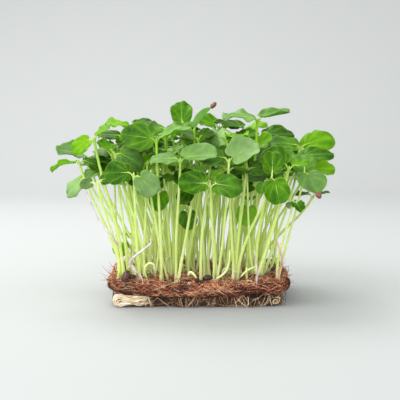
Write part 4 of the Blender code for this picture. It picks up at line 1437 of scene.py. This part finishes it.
# The late sprouts and bare roots among the stems. Some seeds have only just sprouted: their short white shoots
# still hook over the mat. Three thin lilac roots and a brown one lie against the stems at the front and sides.
HOOKS = 26
HOOK_RADII = (0.45 * MM, 0.75 * MM)
HOOK_SHAPE = ((0, 0), (-0.15, 0.5), (0.2, 0.92), (0.9, 1.0), (1.3, 0.75))
FRONT_HOOKS = (
    ((-28.6, -38, 15.0), (-29.9, -38, 21.0), (-27.6, -38, 24.2), (-24.9, -38, 23.4), (-24.6, -38, 20.0)),
    ((-6.2, -38, 16.6), (-5.0, -39, 19.4), (-3.0, -40, 18.6), (-0.8, -40, 15.2)),
    ((8.7, -39, 15.2), (14.2, -40, 19.4), (16.4, -40, 25.2), (16.9, -39, 32.0)),
    ((31.2, -40, 23.0), (26.2, -40, 20.4), (22.4, -39, 16.5)),
)
# Each thread: its radius at the middle, which of the two colours it has, and its points, in millimetres.
THREADS = (
    (0.50, 0, (
        (-64, -29, 66.5), (-59.2, -33, 55.7), (-56.6, -35, 49.7),
        (-50.8, -37, 42.7), (-44.7, -36, 34), (-42, -30, 28),
    )),
    (0.66, 0, (
        (-26.4, -42, 39), (-26.6, -43, 35.6), (-31, -44, 32), (-35.8, -44.5, 28.2),
        (-37.5, -44.5, 25.2), (-36, -43.5, 22), (-32.2, -42.5, 18.5), (-30.6, -41, 14),
    )),
    (0.42, 0, ((29.8, -44, 33), (30.9, -44, 26), (31.5, -43.5, 18.7), (31.5, -42, 12.5))),
    (0.55, 1, (
        (42, -39.5, 38), (44.7, -40.5, 29.8), (45.3, -40.5, 25.4),
        (43.6, -39.5, 20.0), (44.4, -39.5, 14.0),
    )),
)
THREAD_LILAC = ((0.50, 0.36, 0.47), (0.90, 0.84, 0.86))
THREAD_BROWN = ((0.42, 0.22, 0.13), (0.66, 0.42, 0.30))
HOOK_PALE = ((0.52, 0.68, 0.20), (0.80, 0.85, 0.46))


def hooked_shoot(draw):
    """A short shoot that rises from the mat and hooks over."""
    x, y = draw.uniform(-0.9, 0.9) * MAT_WIDTH / 2, draw.uniform(-0.9, 0.9) * MAT_DEPTH / 2
    tall, bow, heading = draw.uniform(5, 13) * MM, draw.uniform(1.6, 4) * MM, draw.uniform(0, 2 * math.pi)
    out = Vector((math.cos(heading), math.sin(heading), 0))
    foot = Vector((x, y, mat_top(x, y) - 1.0 * MM))
    return [foot + out * (bow * far) + Vector((0, 0, tall * high)) for far, high in HOOK_SHAPE]


late_draw = random.Random(83)
shoots = [[Vector(point) * MM for point in course] for course in FRONT_HOOKS]
shoots += [hooked_shoot(late_draw) for _ in range(HOOKS)]
courses = []
for shoot in shoots:
    line = smoothed(shoot, 3)
    courses.append((line, tapered(late_draw.uniform(*HOOK_RADII), len(line)), 0))
pale_shoot = fibre_look("late_shoot", *HOOK_PALE, 0.45, 6 * MM, 1.2 * MM, 0.03 * MM)
hooks = new_object("late_shoots", strands("late_shoots", courses, [pale_shoot], 2), [pale_shoot])
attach(hooks, "root")
courses = []
for radius, tone, thread in THREADS:
    line = smoothed([Vector(point) * MM for point in thread], 4)
    courses.append((line, tapered(radius * MM, len(line)), tone))
lilac = fibre_look("lilac_root", *THREAD_LILAC, 0.5, 5 * MM, 0.8 * MM, 0.03 * MM)
brown = fibre_look("brown_root", *THREAD_BROWN, 0.6, 5 * MM, 0.8 * MM, 0.03 * MM)
threads = new_object("lilac_roots", strands("lilac_roots", courses, [lilac, brown], 1), [lilac, brown])
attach(threads, "root")

# The seed hulls. The seeds' dry coats lie where the seedlings dropped them, dark and wrinkled, each split along
# one side. Two are still caught at the tips of leaves, and they are a redder brown.
# Those that lie on the mat: where, which way they point in degrees, and their length, in millimetres.
LYING_HULLS = (
    (-42.5, -8.5, 62, 7.0),
    (-36.8, -39.3, 12, 4.6),
    (4.8, -38.6, 20, 5.8),
    (-1.2, -40.2, 100, 3.8),
    (-25.5, 8.6, 150, 5.2),
    (21.5, 25.6, 30, 5.0),
    (43.2, -8.0, 75, 5.2),
)
HULL_CELLS = (36, 24)
# One large coat leans against the stems at the left: its middle and length, and how it is turned and tilted.
TILTED_HULL = ((-40.1, -42.2, 17.8), 7.2)
TILTED_TURN = (0.35, -1.05)
HULL_DARK = ((0.012, 0.008, 0.008), (0.085, 0.036, 0.028))
HULL_BROWN = ((0.030, 0.011, 0.008), (0.140, 0.055, 0.036))
HULL_RED = ((0.085, 0.022, 0.012), (0.300, 0.110, 0.065))
SEAM_DEPTH = 0.05
SEAM_WIDTH = 0.035


def hull(name, length, place, look):
    """A wrinkled hull with a seam sunk along its split side."""
    bm = hull_form(length, Matrix.Identity(4), HULL_CELLS)
    for vert in bm.verts:
        x, y, z = vert.co / length
        seam = SEAM_DEPTH * math.exp(-((z / SEAM_WIDTH) ** 2)) * (1 if y > 0 else 0.3)
        wrinkle = 0.03 * noise.noise(vert.co / length * 9) + 0.012 * noise.noise(vert.co / length * 26)
        vert.co -= vert.co.normalized() * length * (seam - wrinkle)
    bmesh.ops.transform(bm, matrix=place, verts=bm.verts[:])
    piece = new_object(name, bm, [look])
    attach(piece, "root")
    return piece


dark_hull = fibre_look("hull_dark", *HULL_DARK, 0.42, 1.2 * MM, 0.25 * MM)
brown_hull = fibre_look("hull_brown", *HULL_BROWN, 0.42, 1.2 * MM, 0.3 * MM)
red_hull = fibre_look("hull_red", *HULL_RED, 0.42, 1.2 * MM, 0.3 * MM)
for number, (x, y, heading, length) in enumerate(LYING_HULLS):
    x, y, length = x * MM, y * MM, length * MM
    height = mat_top(x, y) + length / 2 * HULL_WIDTH_TO_LENGTH + MAT_LUMP
    place = Matrix.Translation((x, y, height)) @ Matrix.Rotation(math.radians(heading), 4, "Z")
    lying = hull(f"hull_{number + 1}", length, place, dark_hull)
    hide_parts(f"seed_hull_{number + 1}")
for number, (row, (side, length)) in enumerate(CAUGHT_HULLS.items()):
    place = caught_hull_place(bold[row], side, length)
    caught = hull(f"hull_on_leaf_{number + 1}", length * MM, place, red_hull)
    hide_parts(f"caught_hull_{number + 1}")
middle, length = TILTED_HULL
turn, pitch = TILTED_TURN
place = Matrix.Translation(Vector(middle) * MM)
place = place @ Matrix.Rotation(turn, 4, "Z") @ Matrix.Rotation(pitch, 4, "Y")
hull("hull_tilted", length * MM, place, brown_hull)

# The table and the light. A plain pale sweep curves up behind the object, in a white room. A big soft light
# stands at the left like a window, a weaker one in front, and a small one behind lights the leaves through.
FLOOR_COLOUR = (0.372, 0.382, 0.384, 1)
ROOM_COLOUR = (0.97, 0.985, 0.98, 1)
ROOM_STRENGTH = 1.16
# Each light: its name, its place, how high it aims, its size in metres, its power in watts, and its colour.
LIGHTS = (
    ("window", (-1.5, -0.9, 1.6), 0.05, 1.6, 33.0, (1.0, 0.99, 0.96)),
    ("front", (-0.3, -2.0, 0.9), 0.04, 1.2, 22.0, (1.0, 1.0, 0.98)),
    ("back", (-0.25, 0.45, 0.80), 0.07, 0.5, 7.5, (1.0, 1.0, 0.96)),
)
FLOOR_HALF = 1.6
FLOOR_BACK = 0.7
SWEEP_RADIUS = 0.4
WALL_TOP = 2.2


def sweep_point(x, run):
    """A point on the sweep: level floor, then a quarter round, then the wall."""
    if run < FLOOR_BACK:
        return Vector((x, run, 0))
    turn = (run - FLOOR_BACK) / SWEEP_RADIUS
    if turn < math.pi / 2:
        return Vector((x, FLOOR_BACK + SWEEP_RADIUS * math.sin(turn), SWEEP_RADIUS * (1 - math.cos(turn))))
    return Vector((x, FLOOR_BACK + SWEEP_RADIUS, SWEEP_RADIUS + run - FLOOR_BACK - SWEEP_RADIUS * math.pi / 2))


bm = bmesh.new()
bmesh.ops.create_grid(bm, x_segments=2, y_segments=96, size=1.0)
for vert in bm.verts:
    run = -FLOOR_HALF + (vert.co.y + 1) / 2 * (FLOOR_HALF + FLOOR_BACK + WALL_TOP)
    vert.co = sweep_point(vert.co.x * FLOOR_HALF, run)
floor_look, tree, shader = new_look("pale_floor")
shader.inputs["Base Color"].default_value = FLOOR_COLOUR
shader.inputs["Roughness"].default_value = 0.7
floor = new_object("floor", bm, [floor_look])
for name, place, aim, size, power, colour in LIGHTS:
    data = bpy.data.lights.new(name, "AREA")
    data.size, data.energy, data.color = size, power, colour
    light = bpy.data.objects.new(name, data)
    light.location = place
    light.rotation_euler = (Vector((0, 0, aim)) - Vector(place)).to_track_quat("-Z", "Y").to_euler()
    bpy.context.scene.collection.objects.link(light)
world = bpy.data.worlds.new("room")
world.use_nodes = True
background = world.node_tree.nodes["Background"]
background.inputs["Color"].default_value = ROOM_COLOUR
background.inputs["Strength"].default_value = ROOM_STRENGTH
bpy.context.scene.world = world
